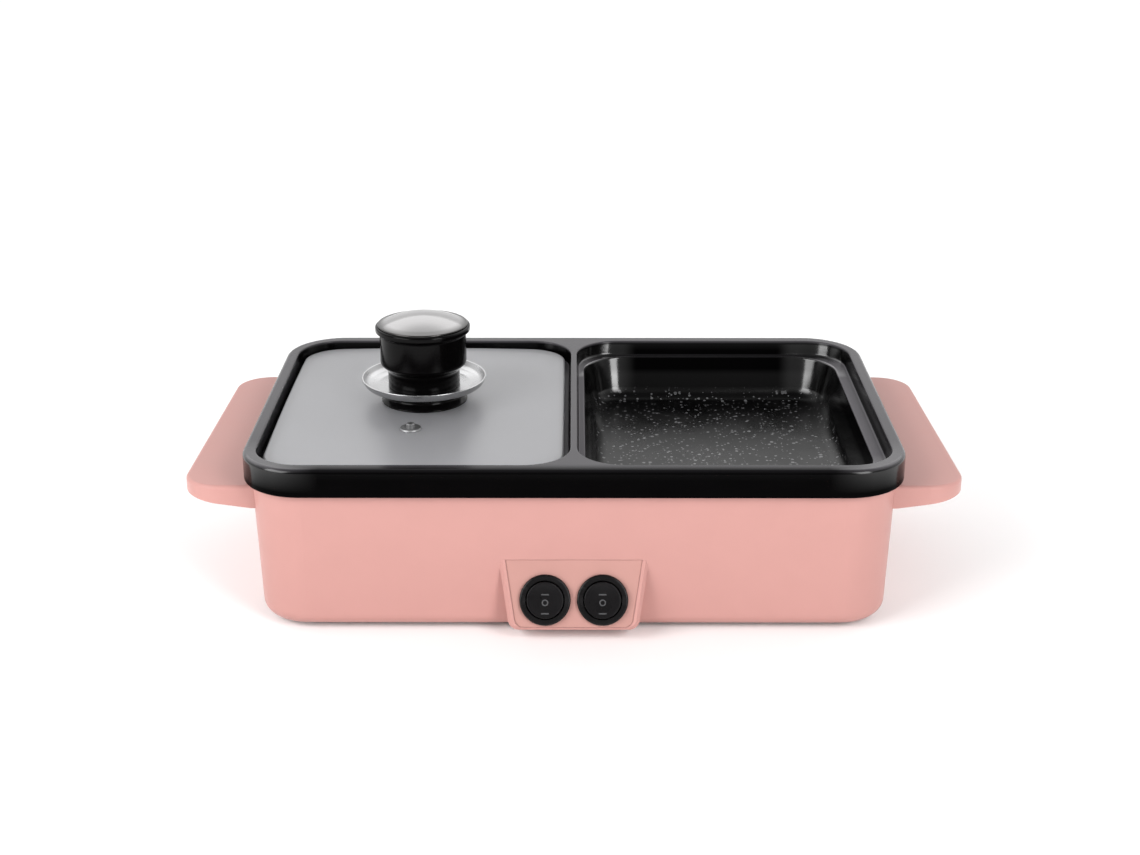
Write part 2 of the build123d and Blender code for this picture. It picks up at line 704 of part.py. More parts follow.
def make_beads(c):
    toward = -c.side
    tail = heater_frame(c)[3]
    z = c.under - HEATER_RADIUS
    beads = []
    for y in (-HEATER_TAIL_SPREAD, HEATER_TAIL_SPREAD):
        bead = along_x(BEAD_RADIUS, tail, toward * BEAD_LENGTH, y, z)
        beads.append(bead - along_x(PIN_RADIUS, tail, toward * BEAD_LENGTH, y, z))
    return beads


def pin_tip(c):
    """Where the terminal pins of an element end."""
    return heater_frame(c)[3] - c.side * (BEAD_LENGTH + PIN_LENGTH)


def make_pins(c):
    tail = heater_frame(c)[3]
    z = c.under - HEATER_RADIUS
    return [along_x(PIN_RADIUS, tail, pin_tip(c) - tail, y, z)
            for y in (-HEATER_TAIL_SPREAD, HEATER_TAIL_SPREAD)]


def make_clamps(c):
    leg = heater_frame(c)[2]
    high = c.under - heater_drop
    low = high - CLAMP_THICKNESS
    half = leg + HEATER_RADIUS + CLAMP_OVERHANG
    strips = []
    for x, y in c.clamp_places():
        strip = slab(x - CLAMP_WIDTH / 2, x + CLAMP_WIDTH / 2, -half, half, low, high)
        strips.append(strip - rod(CLAMP_SCREW_RADIUS + HOLE_GAP, low - OVERRUN, high + OVERRUN, x, y))
    return strips


def make_thermostat(c):
    cap_low = c.under - THERMOSTAT_CAP_HEIGHT
    body_low = cap_low - THERMOSTAT_BODY_HEIGHT
    unit = rod(THERMOSTAT_CAP_RADIUS, cap_low, c.under, c.x, 0)
    unit += rod(THERMOSTAT_BODY_RADIUS, body_low, cap_low, c.x, 0)
    for tab in make_thermostat_tabs(c):
        unit -= tab
    return unit


def make_thermostat_tabs(c):
    low = c.under - THERMOSTAT_CAP_HEIGHT - THERMOSTAT_BODY_HEIGHT + THERMOSTAT_TAB_Z
    high = low + TAB_THICKNESS
    half = THERMOSTAT_TAB_WIDTH / 2
    start = THERMOSTAT_BODY_RADIUS - TAB_ROOT
    tip = THERMOSTAT_BODY_RADIUS + THERMOSTAT_TAB_LENGTH
    return [slab(c.x - tip, c.x - start, -half, half, low, high),
            slab(c.x + start, c.x + tip, -half, half, low, high)]


def make_strap(c):
    high = c.under - THERMOSTAT_CAP_HEIGHT
    low = high - STRAP_THICKNESS
    half_x, half_y = STRAP_WIDTH / 2, STRAP_LENGTH / 2
    strap = slab(c.x - half_x, c.x + half_x, -half_y, half_y, low, high)
    strap -= rod(THERMOSTAT_BODY_RADIUS + THERMOSTAT_GAP, low - OVERRUN, high + OVERRUN, c.x, 0)
    for x, y in c.strap_places():
        strap -= rod(STRAP_SCREW_RADIUS + HOLE_GAP, low - OVERRUN, high + OVERRUN, x, y)
    return strap


shield_outline = Outline(pot.bottom.left + SHIELD_SIDE_MARGIN, grill.bottom.right - SHIELD_SIDE_MARGIN,
                         -SHIELD_WIDTH / 2, SHIELD_WIDTH / 2, SHIELD_CORNER)


def make_shield():
    body = shield_outline.prism(SHIELD_Z, shield_top + SHIELD_RIM)
    inner = shield_outline.inset(SHIELD_THICKNESS, SHIELD_THICKNESS)
    body -= inner.prism(shield_top, shield_top + SHIELD_RIM + OVERRUN)
    for x, y in pillar_places:
        body -= rod(PILLAR_STUD_RADIUS + HOLE_GAP, SHIELD_Z - OVERRUN, shield_top + OVERRUN, x, y)
    half_x, half_y = SHIELD_SLOT_LENGTH / 2, SHIELD_SLOT_WIDTH / 2
    slot = Outline(-half_x, half_x, -half_y, half_y, SHIELD_SLOT_CORNER)
    return body - slot.prism(SHIELD_Z - OVERRUN, shield_top + OVERRUN)


washer_low = SHIELD_Z - WASHER_THICKNESS


def make_pillar(x, y):
    shaft = extrude(Pos(x, y, cover_top) * RegularPolygon(PILLAR_FLATS / 2, HEX_SIDES, major_radius=False),
                    washer_low - cover_top)
    stud = rod(PILLAR_STUD_RADIUS, washer_low, SHIELD_Z + PILLAR_STUD_LENGTH, x, y)
    hole = rod(PILLAR_SCREW_RADIUS + THREAD_GAP, cover_top - OVERRUN,
               COVER_Z + PILLAR_SCREW_LENGTH + THREAD_GAP, x, y)
    return shaft + stud - hole


def washer_ring(x, y):
    ring = rod(WASHER_RADIUS, washer_low, SHIELD_Z, x, y)
    return ring - rod(PILLAR_STUD_RADIUS + HOLE_GAP, washer_low - OVERRUN, SHIELD_Z + OVERRUN, x, y)


earth_place = grill.pillar_places()[1]


def make_lug():
    x, y = earth_place
    tongue = slab(x - LUG_WIDTH / 2, x + LUG_WIDTH / 2, y, y + LUG_REACH, washer_low, SHIELD_Z)
    lug = rod(WASHER_RADIUS, washer_low, SHIELD_Z, x, y) + tongue
    return lug - rod(PILLAR_STUD_RADIUS + HOLE_GAP, washer_low - OVERRUN, SHIELD_Z + OVERRUN, x, y)


def foot_places():
    x, y = cover_outline.right - FOOT_INSET, cover_outline.back - FOOT_INSET
    return {"front_left": (-x, -y), "front_right": (x, -y), "rear_left": (-x, y), "rear_right": (x, y)}


def make_cover():
    plate = cover_outline.prism(COVER_Z, cover_top)
    for x, y in screw_places():
        plate -= rod(BASE_SCREW_RADIUS + HOLE_GAP, COVER_Z - OVERRUN, cover_top + OVERRUN, x, y)
    for x, y in pillar_places:
        plate -= rod(PILLAR_SCREW_RADIUS + HOLE_GAP, COVER_Z - OVERRUN, cover_top + OVERRUN, x, y)
    for x, y in foot_places().values():
        plate -= rod(FOOT_STEM_RADIUS, COVER_Z - OVERRUN, cover_top + OVERRUN, x, y)
    half = VENT_PITCH * (VENT_COUNT - 1) / 2
    for side in (-1, 1):
        for i in range(VENT_COUNT):
            x = side * VENT_OFFSET + i * VENT_PITCH - half
            slot = Outline(x - VENT_WIDTH / 2, x + VENT_WIDTH / 2, -VENT_LENGTH / 2, VENT_LENGTH / 2,
                           VENT_WIDTH / 2 * VENT_END_SHARE)
            plate -= slot.prism(COVER_Z - OVERRUN, cover_top + OVERRUN)
    return plate


def make_foot(x, y):
    pad = turned([(0, 0), (FOOT_TIP_RADIUS, 0), (FOOT_RADIUS, FOOT_ROUNDING), (FOOT_RADIUS, COVER_Z),
                  (FOOT_STEM_RADIUS, COVER_Z), (FOOT_STEM_RADIUS, cover_top), (FOOT_BARB_RADIUS, cover_top),
                  (FOOT_STEM_RADIUS, cover_top + FOOT_BARB_HEIGHT), (0, cover_top + FOOT_BARB_HEIGHT)])
    return Pos(x, y, 0) * pad


def recess_outline():
    """The inlet's six-sided mouth: a rectangle with its two lower corners cut off."""
    half_w, half_h = INLET_RECESS_WIDTH / 2, INLET_RECESS_HEIGHT / 2
    cut = INLET_RECESS_CHAMFER
    points = [(-half_w, half_h), (half_w, half_h), (half_w, cut - half_h), (half_w - cut, -half_h),
              (cut - half_w, -half_h), (-half_w, cut - half_h)]
    return make_face(Polyline(*points, close=True))


# The inlet is drawn on a plane whose z = 0 is the housing's rear pad, with z pointing out
inlet_plane = Plane(origin=(INLET_X, inlet_pad_y, INLET_Z), x_dir=(-1, 0, 0), z_dir=(0, 1, 0))


def inlet_pins_local():
    """Three flat pins: live and neutral side by side, and the earth pin above them."""
    half = INLET_PIN_SPACING / 2
    back = INLET_FLANGE_THICKNESS - INLET_RECESS_DEPTH
    tip = -INLET_BODY_DEPTH - INLET_TAB_LENGTH
    pins = []
    for x, y in ((-half, -INLET_PIN_OFFSET), (half, -INLET_PIN_OFFSET), (0, INLET_PIN_OFFSET)):
        pins.append(slab(x - INLET_PIN_WIDTH / 2, x + INLET_PIN_WIDTH / 2, y - INLET_PIN_HEIGHT / 2,
                         y + INLET_PIN_HEIGHT / 2, tip, back + INLET_PIN_LENGTH))
    return pins


def make_inlet():
    half_w, half_h = INLET_FLANGE_WIDTH / 2, INLET_FLANGE_HEIGHT / 2
    flange = Outline(-half_w, half_w, -half_h, half_h, INLET_FLANGE_CORNER)
    body = flange.prism(0, INLET_FLANGE_THICKNESS)
    half_w, half_h = INLET_BODY_WIDTH / 2, INLET_BODY_HEIGHT / 2
    body += slab(-half_w, half_w, -half_h, half_h, -INLET_BODY_DEPTH, 0)
    body -= extrude(Pos(0, 0, INLET_FLANGE_THICKNESS) * recess_outline(), -INLET_RECESS_DEPTH)
    for pin in inlet_pins_local():
        body -= pin
    return inlet_plane * body


inlet_tab_y = inlet_pad_y - INLET_BODY_DEPTH - INLET_TAB_LENGTH
lead_drop_y = inlet_tab_y - LEAD_DROP
block_back = lead_drop_y - BLOCK_REAR_GAP
block_front = block_back - BLOCK_DEPTH
block_top = cover_top + BLOCK_HEIGHT
block_middle = INLET_X
block_z = cover_top + BLOCK_HEIGHT / 2
lead_z = block_z + LEAD_LAYER


def block_way_x(i):
    return block_middle + (i - (BLOCK_WAYS - 1) / 2) * BLOCK_PITCH


def make_block():
    half = BLOCK_LENGTH / 2
    body = slab(block_middle - half, block_middle + half, block_front, block_back, cover_top, block_top)
    for screw in make_block_screws():
        body -= screw
    return body


def make_block_screws():
    """Two clamping screws for each way, sunk a little into the top of the block."""
    screws = []
    low = block_top - BLOCK_HEIGHT / 2
    for i in range(BLOCK_WAYS):
        for y in (block_front + BLOCK_DEPTH / 4, block_back - BLOCK_DEPTH / 4):
            screws.append(rod(BLOCK_SCREW_RADIUS, low, block_top + BLOCK_SCREW_SINK, block_way_x(i), y))
    return screws


def lead(*points):
    return bent_tube(points, LEAD_RADIUS, LEAD_BEND)


def tab_end(side, step):
    """Where a lead turns into line with a switch tab, and the middle of the tab's end."""
    points = []
    for depth in (SWITCH_BODY_DEPTH + 2 * TAB_LENGTH, SWITCH_BODY_DEPTH + TAB_LENGTH):
        points.append((switch_place(side) * Pos(0, step * TAB_SPACING, -depth)).position)
    return points


def make_inlet_leads():
    """From the inlet's tabs: two leads to the block, and the earth lead to its lug."""
    half = INLET_PIN_SPACING / 2
    low_z = INLET_Z - INLET_PIN_OFFSET
    high_z = INLET_Z + INLET_PIN_OFFSET
    leads = {}
    for name, x, way in (("live_lead", INLET_X - half, 0), ("neutral_lead", INLET_X + half, BLOCK_WAYS - 1)):
        way_x = block_way_x(way)
        leads[name] = lead((x, inlet_tab_y, low_z), (x, lead_drop_y, low_z),
                           (way_x, lead_drop_y, block_z), (way_x, block_back, block_z))
    lug_x, lug_y = earth_place
    lug_end = lug_y + LUG_REACH
    lug_z = SHIELD_Z - LEAD_RADIUS - THREAD_GAP
    lane_x = block_middle - BLOCK_LENGTH / 2 - LEAD_STEP / 2
    leads["earth_lead"] = lead((INLET_X, inlet_tab_y, high_z), (INLET_X, lead_drop_y, high_z),
                               (INLET_X, lead_drop_y, lug_z), (lane_x, lead_drop_y - LEAD_STEP, lug_z),
                               (lug_x, lug_end + LEAD_STEP, lug_z), (lug_x, lug_end, lug_z))
    return leads


def make_switch_feeds():
    """From the block to the middle tab of each switch, low over the base."""
    feeds = {}
    for word, side, way, lane in (("left", -1, 0, LEFT_FEED_LANE), ("right", 1, 1, RIGHT_FEED_LANE)):
        way_x = block_way_x(way)
        lane_y = block_front - lane
        before, tip = tab_end(side, 0)
        feeds[f"switch_feed_{word}"] = lead(
            (way_x, block_front, block_z), (way_x, lane_y, block_z), (tip.X, lane_y, block_z),
            (tip.X, -LEAD_FAN_REACH, block_z), before, tip)
    return feeds


def make_heater_leads():
    """From each switch to one pin of its element, and from the other pin to the block."""
    spread = HEATER_TAIL_SPREAD
    leads = {}
    for word, c, way, lane in (("pot", pot, 2, POT_RETURN_LANE), ("grill", grill, 3, GRILL_RETURN_LANE)):
        before, tip = tab_end(c.side, 1)
        pin_x = pin_tip(c)
        turn_x = pin_x - c.side * LEAD_TURN
        pin_z = c.under - HEATER_RADIUS
        way_x = block_way_x(way)
        lane_y = block_front - lane
        leads[f"{word}_lead"] = lead(
            tip, before, (tip.X, -LEAD_FAN_REACH, lead_z), (turn_x, -LEAD_GATHER_REACH, lead_z),
            (turn_x, -spread, lead_z), (turn_x, -spread, pin_z), (pin_x, -spread, pin_z))
        leads[f"{word}_return"] = lead(
            (pin_x, spread, pin_z), (turn_x, spread, pin_z), (turn_x, spread, lead_z),
            (turn_x, lane_y, lead_z), (way_x, lane_y, lead_z),
            (way_x, block_front - LEAD_STEP, block_z), (way_x, block_front, block_z))
    return leads


# Lid: outline, heights and the knob's axis
lid_outline = pot.mouth.inset(LID_GAP, LID_GAP)
knob_x = lid_outline.middle_x()
half_lid_x = (lid_outline.right - lid_outline.left) / 2
crown_span = sqrt(half_lid_x ** 2 + lid_outline.back ** 2)
crown_radius = (crown_span ** 2 + GLASS_CROWN ** 2) / (2 * GLASS_CROWN)
glass_top = ledge_z + GLASS_EDGE + GLASS_CROWN
glass_under = glass_top - GLASS_THICKNESS
vent_x, vent_y = knob_x + VENT_HOLE_X, VENT_HOLE_Y
vent_drop = (VENT_HOLE_X ** 2 + VENT_HOLE_Y ** 2) / (2 * crown_radius)


def make_glass():
    """A plate with a gently crowned top, hollowed below inside a flat seat all round."""
    centre = glass_top - crown_radius
    body = lid_outline.prism(ledge_z, glass_top + OVERRUN) & Pos(knob_x, 0, centre) * Sphere(crown_radius)
    body = fillet(body.faces().sort_by(Axis.Z)[-1].edges(), GLASS_ROUNDING)
    inner = lid_outline.inset(GLASS_SEAT, GLASS_SEAT).prism(ledge_z - OVERRUN, glass_top)
    body -= inner & Pos(knob_x, 0, centre) * Sphere(crown_radius - GLASS_THICKNESS)
    body -= rod(GLASS_HOLE_RADIUS, ledge_z, glass_top + OVERRUN, knob_x, 0)
    return body - rod(VENT_HOLE_RADIUS, ledge_z, glass_top + OVERRUN, vent_x, vent_y)


def make_eyelet():
    """A flanged sleeve in the steam hole, with a short neck that stands above its flange."""
    seat = glass_top - vent_drop + EYELET_SEAT_GAP
    low = glass_under - vent_drop
    flange_high = seat + EYELET_THICKNESS
    neck_high = seat + EYELET_NECK_HEIGHT
    bore = EYELET_BORE_RADIUS
    stem = VENT_HOLE_RADIUS - THREAD_GAP
    neck = EYELET_NECK_RADIUS
    return turned([(bore, low), (stem, low), (stem, seat), (EYELET_RADIUS, seat),
                   (EYELET_RADIUS - EYELET_BEVEL, flange_high), (neck, flange_high),
                   (neck, neck_high - EYELET_BEVEL), (neck - EYELET_BEVEL, neck_high), (bore, neck_high)],
                  vent_x, vent_y)


base_top = glass_top + KNOB_BASE_HEIGHT
grip_low = base_top + GUARD_THICKNESS
grip_top = grip_low + GRIP_HEIGHT
insert_low = grip_low + INSERT_SINK
knob_bore = KNOB_SCREW_RADIUS + KNOB_HOLE_GAP


def make_knob_base():
    top_r, low_r = KNOB_BASE_TOP_RADIUS, KNOB_BASE_RADIUS
    flare = low_r - top_r
    lower_lip = glass_top + (KNOB_BASE_FLARE - flare) / 2
    points = [(SEAL_RADIUS + HOLE_GAP, glass_top), (low_r, glass_top), (low_r, lower_lip),
              (low_r - flare * FLARE_SHARE, glass_top + KNOB_BASE_FLARE * FLARE_SHARE),
              (top_r, glass_top + KNOB_BASE_FLARE), (top_r, base_top), (knob_bore, base_top),
              (knob_bore, glass_top + SEAL_THICKNESS), (SEAL_RADIUS + HOLE_GAP, glass_top + SEAL_THICKNESS)]
    return turned(points, knob_x)


def make_guard():
    """A thin dish: flat round the knob and turned up in an arc at its edge."""
    t = GUARD_THICKNESS
    run = GUARD_RADIUS - GUARD_FLAT_RADIUS
    outer = Line((knob_bore, 0, base_top), (GUARD_FLAT_RADIUS, 0, base_top))
    rise = ThreePointArc((GUARD_FLAT_RADIUS, 0, base_top),
                         (GUARD_FLAT_RADIUS + run * GUARD_BOW_SHARE, 0,
                          base_top + GUARD_RISE * GUARD_SAG_SHARE),
                         (GUARD_RADIUS, 0, base_top + GUARD_RISE))
    tip = Line((GUARD_RADIUS, 0, base_top + GUARD_RISE), (GUARD_RADIUS - t, 0, base_top + GUARD_RISE))
    back = ThreePointArc((GUARD_RADIUS - t, 0, base_top + GUARD_RISE),
                         (GUARD_FLAT_RADIUS + (run - t) * GUARD_BOW_SHARE, 0,
                          base_top + t + (GUARD_RISE - t) * GUARD_SAG_SHARE),
                         (GUARD_FLAT_RADIUS, 0, base_top + t))
    inner = Line((GUARD_FLAT_RADIUS, 0, base_top + t), (knob_bore, 0, base_top + t))
    close = Line((knob_bore, 0, base_top + t), (knob_bore, 0, base_top))
    section = make_face([outer, rise, tip, back, inner, close])
    return Pos(knob_x, 0, 0) * revolve(section, Axis.Z)


def make_grip():
    neck_top = grip_low + GRIP_NECK_HEIGHT
    flange_low = grip_top - GRIP_FLANGE_HEIGHT
    points = [(knob_bore, grip_low), (GRIP_NECK_RADIUS, grip_low), (GRIP_NECK_RADIUS, neck_top - GRIP_STEP),
              (GRIP_RADIUS, neck_top), (GRIP_RADIUS, flange_low - GRIP_FLANGE_ROUNDING),
              (GRIP_FLANGE_RADIUS, flange_low), (GRIP_FLANGE_RADIUS, grip_top - GRIP_FLANGE_ROUNDING),
              (GRIP_FLANGE_RADIUS - GRIP_FLANGE_ROUNDING, grip_top), (0, grip_top),
              (0, insert_low + INSERT_LENGTH), (INSERT_RADIUS, insert_low + INSERT_LENGTH),
              (INSERT_RADIUS, insert_low), (knob_bore, insert_low)]
    return turned(points, knob_x)


def make_insert():
    bore = KNOB_SCREW_RADIUS + THREAD_GAP
    high = insert_low + INSERT_LENGTH
    return turned([(bore, insert_low), (INSERT_RADIUS, insert_low),
                   (INSERT_RADIUS, high), (bore, high)], knob_x)


def dome(radius, rise):
    """The part of a ball that stands on the top of the grip."""
    ball = (radius ** 2 + rise ** 2) / (2 * rise)
    return Pos(knob_x, 0, grip_top + rise - ball) * Sphere(ball)


def make_cap():
    """A domed sheet plate that stands on the grip."""
    block = rod(CAP_RADIUS, grip_top, grip_top + CAP_RISE, knob_x, 0)
    return (block & dome(CAP_RADIUS, CAP_RISE)) - dome(CAP_RADIUS - CAP_THICKNESS, CAP_RISE - CAP_THICKNESS)


def make_knob_screw():
    seat = glass_under - KNOB_WASHER_GAP - KNOB_WASHER_THICKNESS
    head = rod(KNOB_SCREW_HEAD_RADIUS, seat - KNOB_SCREW_HEAD, seat, knob_x, 0)
    half_slot = KNOB_SCREW_RADIUS * SLOT_WIDTH_SHARE / 2
    slot = slab(knob_x - KNOB_SCREW_HEAD_RADIUS, knob_x + KNOB_SCREW_HEAD_RADIUS, -half_slot, half_slot,
                seat - KNOB_SCREW_HEAD - OVERRUN, seat - KNOB_SCREW_HEAD * (1 - SLOT_DEPTH_SHARE))
    shank = rod(KNOB_SCREW_RADIUS, seat - KNOB_SCREW_HEAD / 2, grip_low + KNOB_SCREW_REACH, knob_x, 0)
    return head - slot + shank


def ring(outer, inner, low, high):
    return rod(outer, low, high, knob_x, 0) - rod(inner, low - OVERRUN, high + OVERRUN, knob_x, 0)


# The origin: half way between the front of the switches and the back of the rim
bezel_low = SWITCH_HEIGHT - BEZEL_RADIUS
front_reach = -(pod_front + bezel_low * sin(tilt) - (BEZEL_THICKNESS - PANEL_RECESS) * cos(tilt))
origin_shift = (front_reach - rim.back) / 2


def save(name, shape):
    """Moves each solid to the final origin and writes the node."""
    solids = [Pos(0, origin_shift, 0) * solid for solid in shape.solids()]
    export_step(solids[0] if len(solids) == 1 else Compound(solids), f"parts/{name}.step")


save("tray", make_tray())
save("housing", make_housing())
save("switch_panel", make_panel())
for side, word in ((-1, "left"), (1, "right")):
    place = switch_place(side)
    save(f"switch_frame_{word}", place * make_switch_frame())
    save(f"rocker_{word}", place * make_rocker())
    save(f"switch_tabs_{word}", group([place * tab for tab in make_tabs()]))
for c, word in ((pot, "pot"), (grill, "grill")):
    save(f"{word}_heater", make_heater(c))
    save(f"{word}_heater_beads", group(make_beads(c)))
    save(f"{word}_heater_clamps", group(make_clamps(c)))
    save(f"{word}_thermostat", make_thermostat(c))
save("heater_pins", group(make_pins(pot) + make_pins(grill)))
save("thermostat_tabs", group(make_thermostat_tabs(pot) + make_thermostat_tabs(grill)))
save("thermostat_straps", group([make_strap(c) for c in compartments]))
save("clamp_screws", group([screw_up(CLAMP_SCREW_RADIUS, CLAMP_SCREW_LENGTH,
                                     c.under - heater_drop - CLAMP_THICKNESS, x, y)
                            for c in compartments for x, y in c.clamp_places()]))
save("thermostat_screws", group([screw_up(STRAP_SCREW_RADIUS, STRAP_SCREW_LENGTH,
                                          c.under - strap_z_drop - STRAP_THICKNESS, x, y)
                                 for c in compartments for x, y in c.strap_places()]))
save("heat_shield", make_shield())
save("tray_pillars", group([make_pillar(x, y) for x, y in pillar_places]))
save("pillar_washers", group([washer_ring(x, y) for x, y in pillar_places if (x, y) != earth_place]))
save("pillar_screws", group([screw_up(PILLAR_SCREW_RADIUS, PILLAR_SCREW_LENGTH, COVER_Z, x, y)
                             for x, y in pillar_places]))
save("earth_lug", make_lug())
save("base_cover", make_cover())
save("base_screws", group([screw_up(BASE_SCREW_RADIUS, BASE_SCREW_LENGTH, COVER_Z, x, y)
                           for x, y in screw_places()]))
for word, (x, y) in foot_places().items():
    save(f"foot_{word}", make_foot(x, y))
save("power_inlet", make_inlet())
save("inlet_pins", group([inlet_plane * pin for pin in inlet_pins_local()]))
save("terminal_block", make_block())
save("terminal_screws", group(make_block_screws()))
for leads in (make_inlet_leads(), make_switch_feeds(), make_heater_leads()):
    for name, shape in leads.items():
        save(name, shape)
save("lid_glass", make_glass())
save("vent_eyelet", make_eyelet())
save("knob_base", make_knob_base())
save("knob_guard", make_guard())
save("knob_body", make_grip())
save("knob_insert", make_insert())
save("knob_cap", make_cap())
save("knob_screw", make_knob_screw())
save("knob_seal", ring(SEAL_RADIUS, knob_bore, glass_top, glass_top + SEAL_THICKNESS))
washer_top = glass_under - KNOB_WASHER_GAP
save("knob_washer", ring(SEAL_RADIUS, knob_bore, washer_top - KNOB_WASHER_THICKNESS, washer_top))
print("origin shift", round(origin_shift, 3))
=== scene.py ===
import json
from math import cos, pi, radians, sin, sqrt, tan

import bmesh
import bpy
import numpy as np
from mathutils import Matrix, Vector


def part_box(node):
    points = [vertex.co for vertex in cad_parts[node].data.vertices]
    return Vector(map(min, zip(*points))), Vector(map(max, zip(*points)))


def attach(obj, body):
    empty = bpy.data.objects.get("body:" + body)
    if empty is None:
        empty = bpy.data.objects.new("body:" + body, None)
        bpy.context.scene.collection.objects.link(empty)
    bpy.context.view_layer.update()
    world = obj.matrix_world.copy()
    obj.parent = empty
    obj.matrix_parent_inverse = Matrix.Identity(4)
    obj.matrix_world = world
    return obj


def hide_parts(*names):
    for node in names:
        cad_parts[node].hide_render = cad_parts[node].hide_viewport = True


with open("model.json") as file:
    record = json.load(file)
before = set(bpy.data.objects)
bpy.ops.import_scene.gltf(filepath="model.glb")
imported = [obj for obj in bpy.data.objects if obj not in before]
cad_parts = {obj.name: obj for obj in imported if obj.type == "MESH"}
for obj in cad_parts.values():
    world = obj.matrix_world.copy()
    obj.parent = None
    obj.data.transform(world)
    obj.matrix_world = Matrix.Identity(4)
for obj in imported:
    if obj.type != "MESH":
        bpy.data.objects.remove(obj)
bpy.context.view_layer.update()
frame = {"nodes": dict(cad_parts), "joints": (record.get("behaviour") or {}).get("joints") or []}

# Every shape is worked out in millimetres about the middle of the tray's rim, with z = 0
# on the table. Shell.piece turns that into metres and moves it to where the frame has
# the tray.
MM = 0.001
tray_low, tray_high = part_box("tray")
rim_middle_y = (tray_low.y + tray_high.y) / 2

# Tray
TRAY_CORNER = 29.0
RIM_HEIGHT = 13.4
RIM_ROUNDING = 4.3
SKIRT_WALL = 1.7
SKIRT_ROUNDING = 0.8
SKIRT_STEP = 3.5
LIP_FLAT = 4.38
LIP_SIDE = 5.9
LIP_END = 7.3
DIVIDER_WIDTH = 3.0
MOUTH_CORNER = 22.0
DEEP_CORNER = 22.0
MOUTH_FLAT = 1.4
MOUTH_ROUNDING = 1.25
MOUTH_LEAN = 1.7
DIVIDER_LEAN = 0.6
LEDGE_DROP = 7.3
LEDGE_ROUNDING = 1.2
LEDGE_SIDE = 6.0
LEDGE_END = 3.6
POT_DIVIDER_LEDGE = 6.0
GRILL_DIVIDER_LEDGE = 3.3
TRAY_WALL = 2.6
TRAY_FLOOR = 3.0
POT_DEPTH = 40.0
GRILL_DEPTH = 29.0
POT_DRAFT = 8.0
GRILL_DRAFT = 14.0
POT_FLOOR_ROUNDING = 10.0
GRILL_FLOOR_ROUNDING = 8.0
FLOOR_BORDER = 13.0

# Bosses under the tray
HEATER_RADIUS = 3.3
HEATER_SIDE_INSET = 22.0
CLAMP_BOSS_RADIUS = 4.5
CLAMP_CLEARANCE = 0.8
CLAMP_BORE = 1.95
CLAMP_BORE_DEPTH = 5.55
STRAP_BOSS_RADIUS = 3.2
STRAP_BORE = 1.45
STRAP_BORE_DEPTH = 4.75
STRAP_DROP = 4.5
STRAP_SPACING = 24.0
PILLAR_BOSS_RADIUS = 5.5
PILLAR_BORE = 2.45
PILLAR_BORE_DEPTH = 8.25
PILLAR_SPACING = 66.0
PILLAR_SEAT_Z = 22.0
BOSS_ROUNDING = 0.4
BORE_ROUNDING = 0.2

# Lid glass and what is fixed to it
LID_GAP = 3.2
GLASS_EDGE = 3.4
GLASS_CROWN = 3.0
GLASS_THICKNESS = 4.0
GLASS_SEAT = 9.0
GLASS_ROUNDING = 0.9
GLASS_TOP_ROUNDING = 1.6 * GLASS_ROUNDING
GLASS_BRINK = 3 * GLASS_ROUNDING
HOLLOW_STEP_OUT = 1.0
HOLLOW_STEP_IN = 3.0
CROWN_LAST_SHARE = 0.04
GLASS_HOLE_RADIUS = 4.0
VENT_X = -3.5
VENT_Y = -41.0
VENT_HOLE_RADIUS = 2.6

# Knob
KNOB_BORE = 2.75
BASE_RADIUS = 21.0
BASE_TOP_RADIUS = 18.5
BASE_HEIGHT = 7.0
BASE_LIP = 0.7
BASE_FLARE = 3.2
BASE_FOOT_ROUNDING = 0.4
BASE_LIP_ROUNDING = 0.5
BASE_FLARE_ROUNDING = 2.2
BASE_TOP_ROUNDING = 0.5
SEAL_SEAT_RADIUS = 9.2
SEAL_THICKNESS = 0.8
GUARD_RADIUS = 30.5
GUARD_FLAT_RADIUS = 23.0
GUARD_RISE = 5.2
GUARD_THICKNESS = 0.8
GUARD_BEND_SHARE = 0.78
GUARD_BEND_RISE = 0.22 * GUARD_RISE
GUARD_INNER_BEND_RISE = 0.2 * GUARD_RISE
GUARD_INNER_BEND_STEP = 0.7 * GUARD_THICKNESS
GUARD_FOOT_ROUNDING = 6.0
GUARD_BEND_ROUNDING = 4.0
GUARD_RIM_ROUNDING = 0.45 * GUARD_THICKNESS
GUARD_INNER_BEND_ROUNDING = 3.5
GUARD_INNER_FOOT_ROUNDING = 5.0
GRIP_NECK_RADIUS = 17.5
GRIP_NECK_HEIGHT = 10.0
GRIP_RADIUS = 21.0
GRIP_STEP = 1.5
GRIP_HEIGHT = 30.5
GRIP_FLANGE_RADIUS = 23.0
GRIP_FLANGE_HEIGHT = 2.6
GRIP_FLANGE_SLOPE = 1.2
GRIP_FOOT_ROUNDING = 0.6
GRIP_STEP_ROUNDING = 2.5
GRIP_SLOPE_ROUNDING = 1.4
GRIP_FLANGE_ROUNDING = 0.7
GRIP_TOP_ROUNDING = 0.9
INSERT_RADIUS = 4.5
INSERT_SINK = 1.0
INSERT_LENGTH = 18.0
CAP_RADIUS = 21.8
CAP_RISE = 5.5
CAP_THICKNESS = 1.0
CAP_EDGE = 0.9
CAP_EDGE_ROUNDING = 0.6
CAP_FOOT_ROUNDING = 0.2

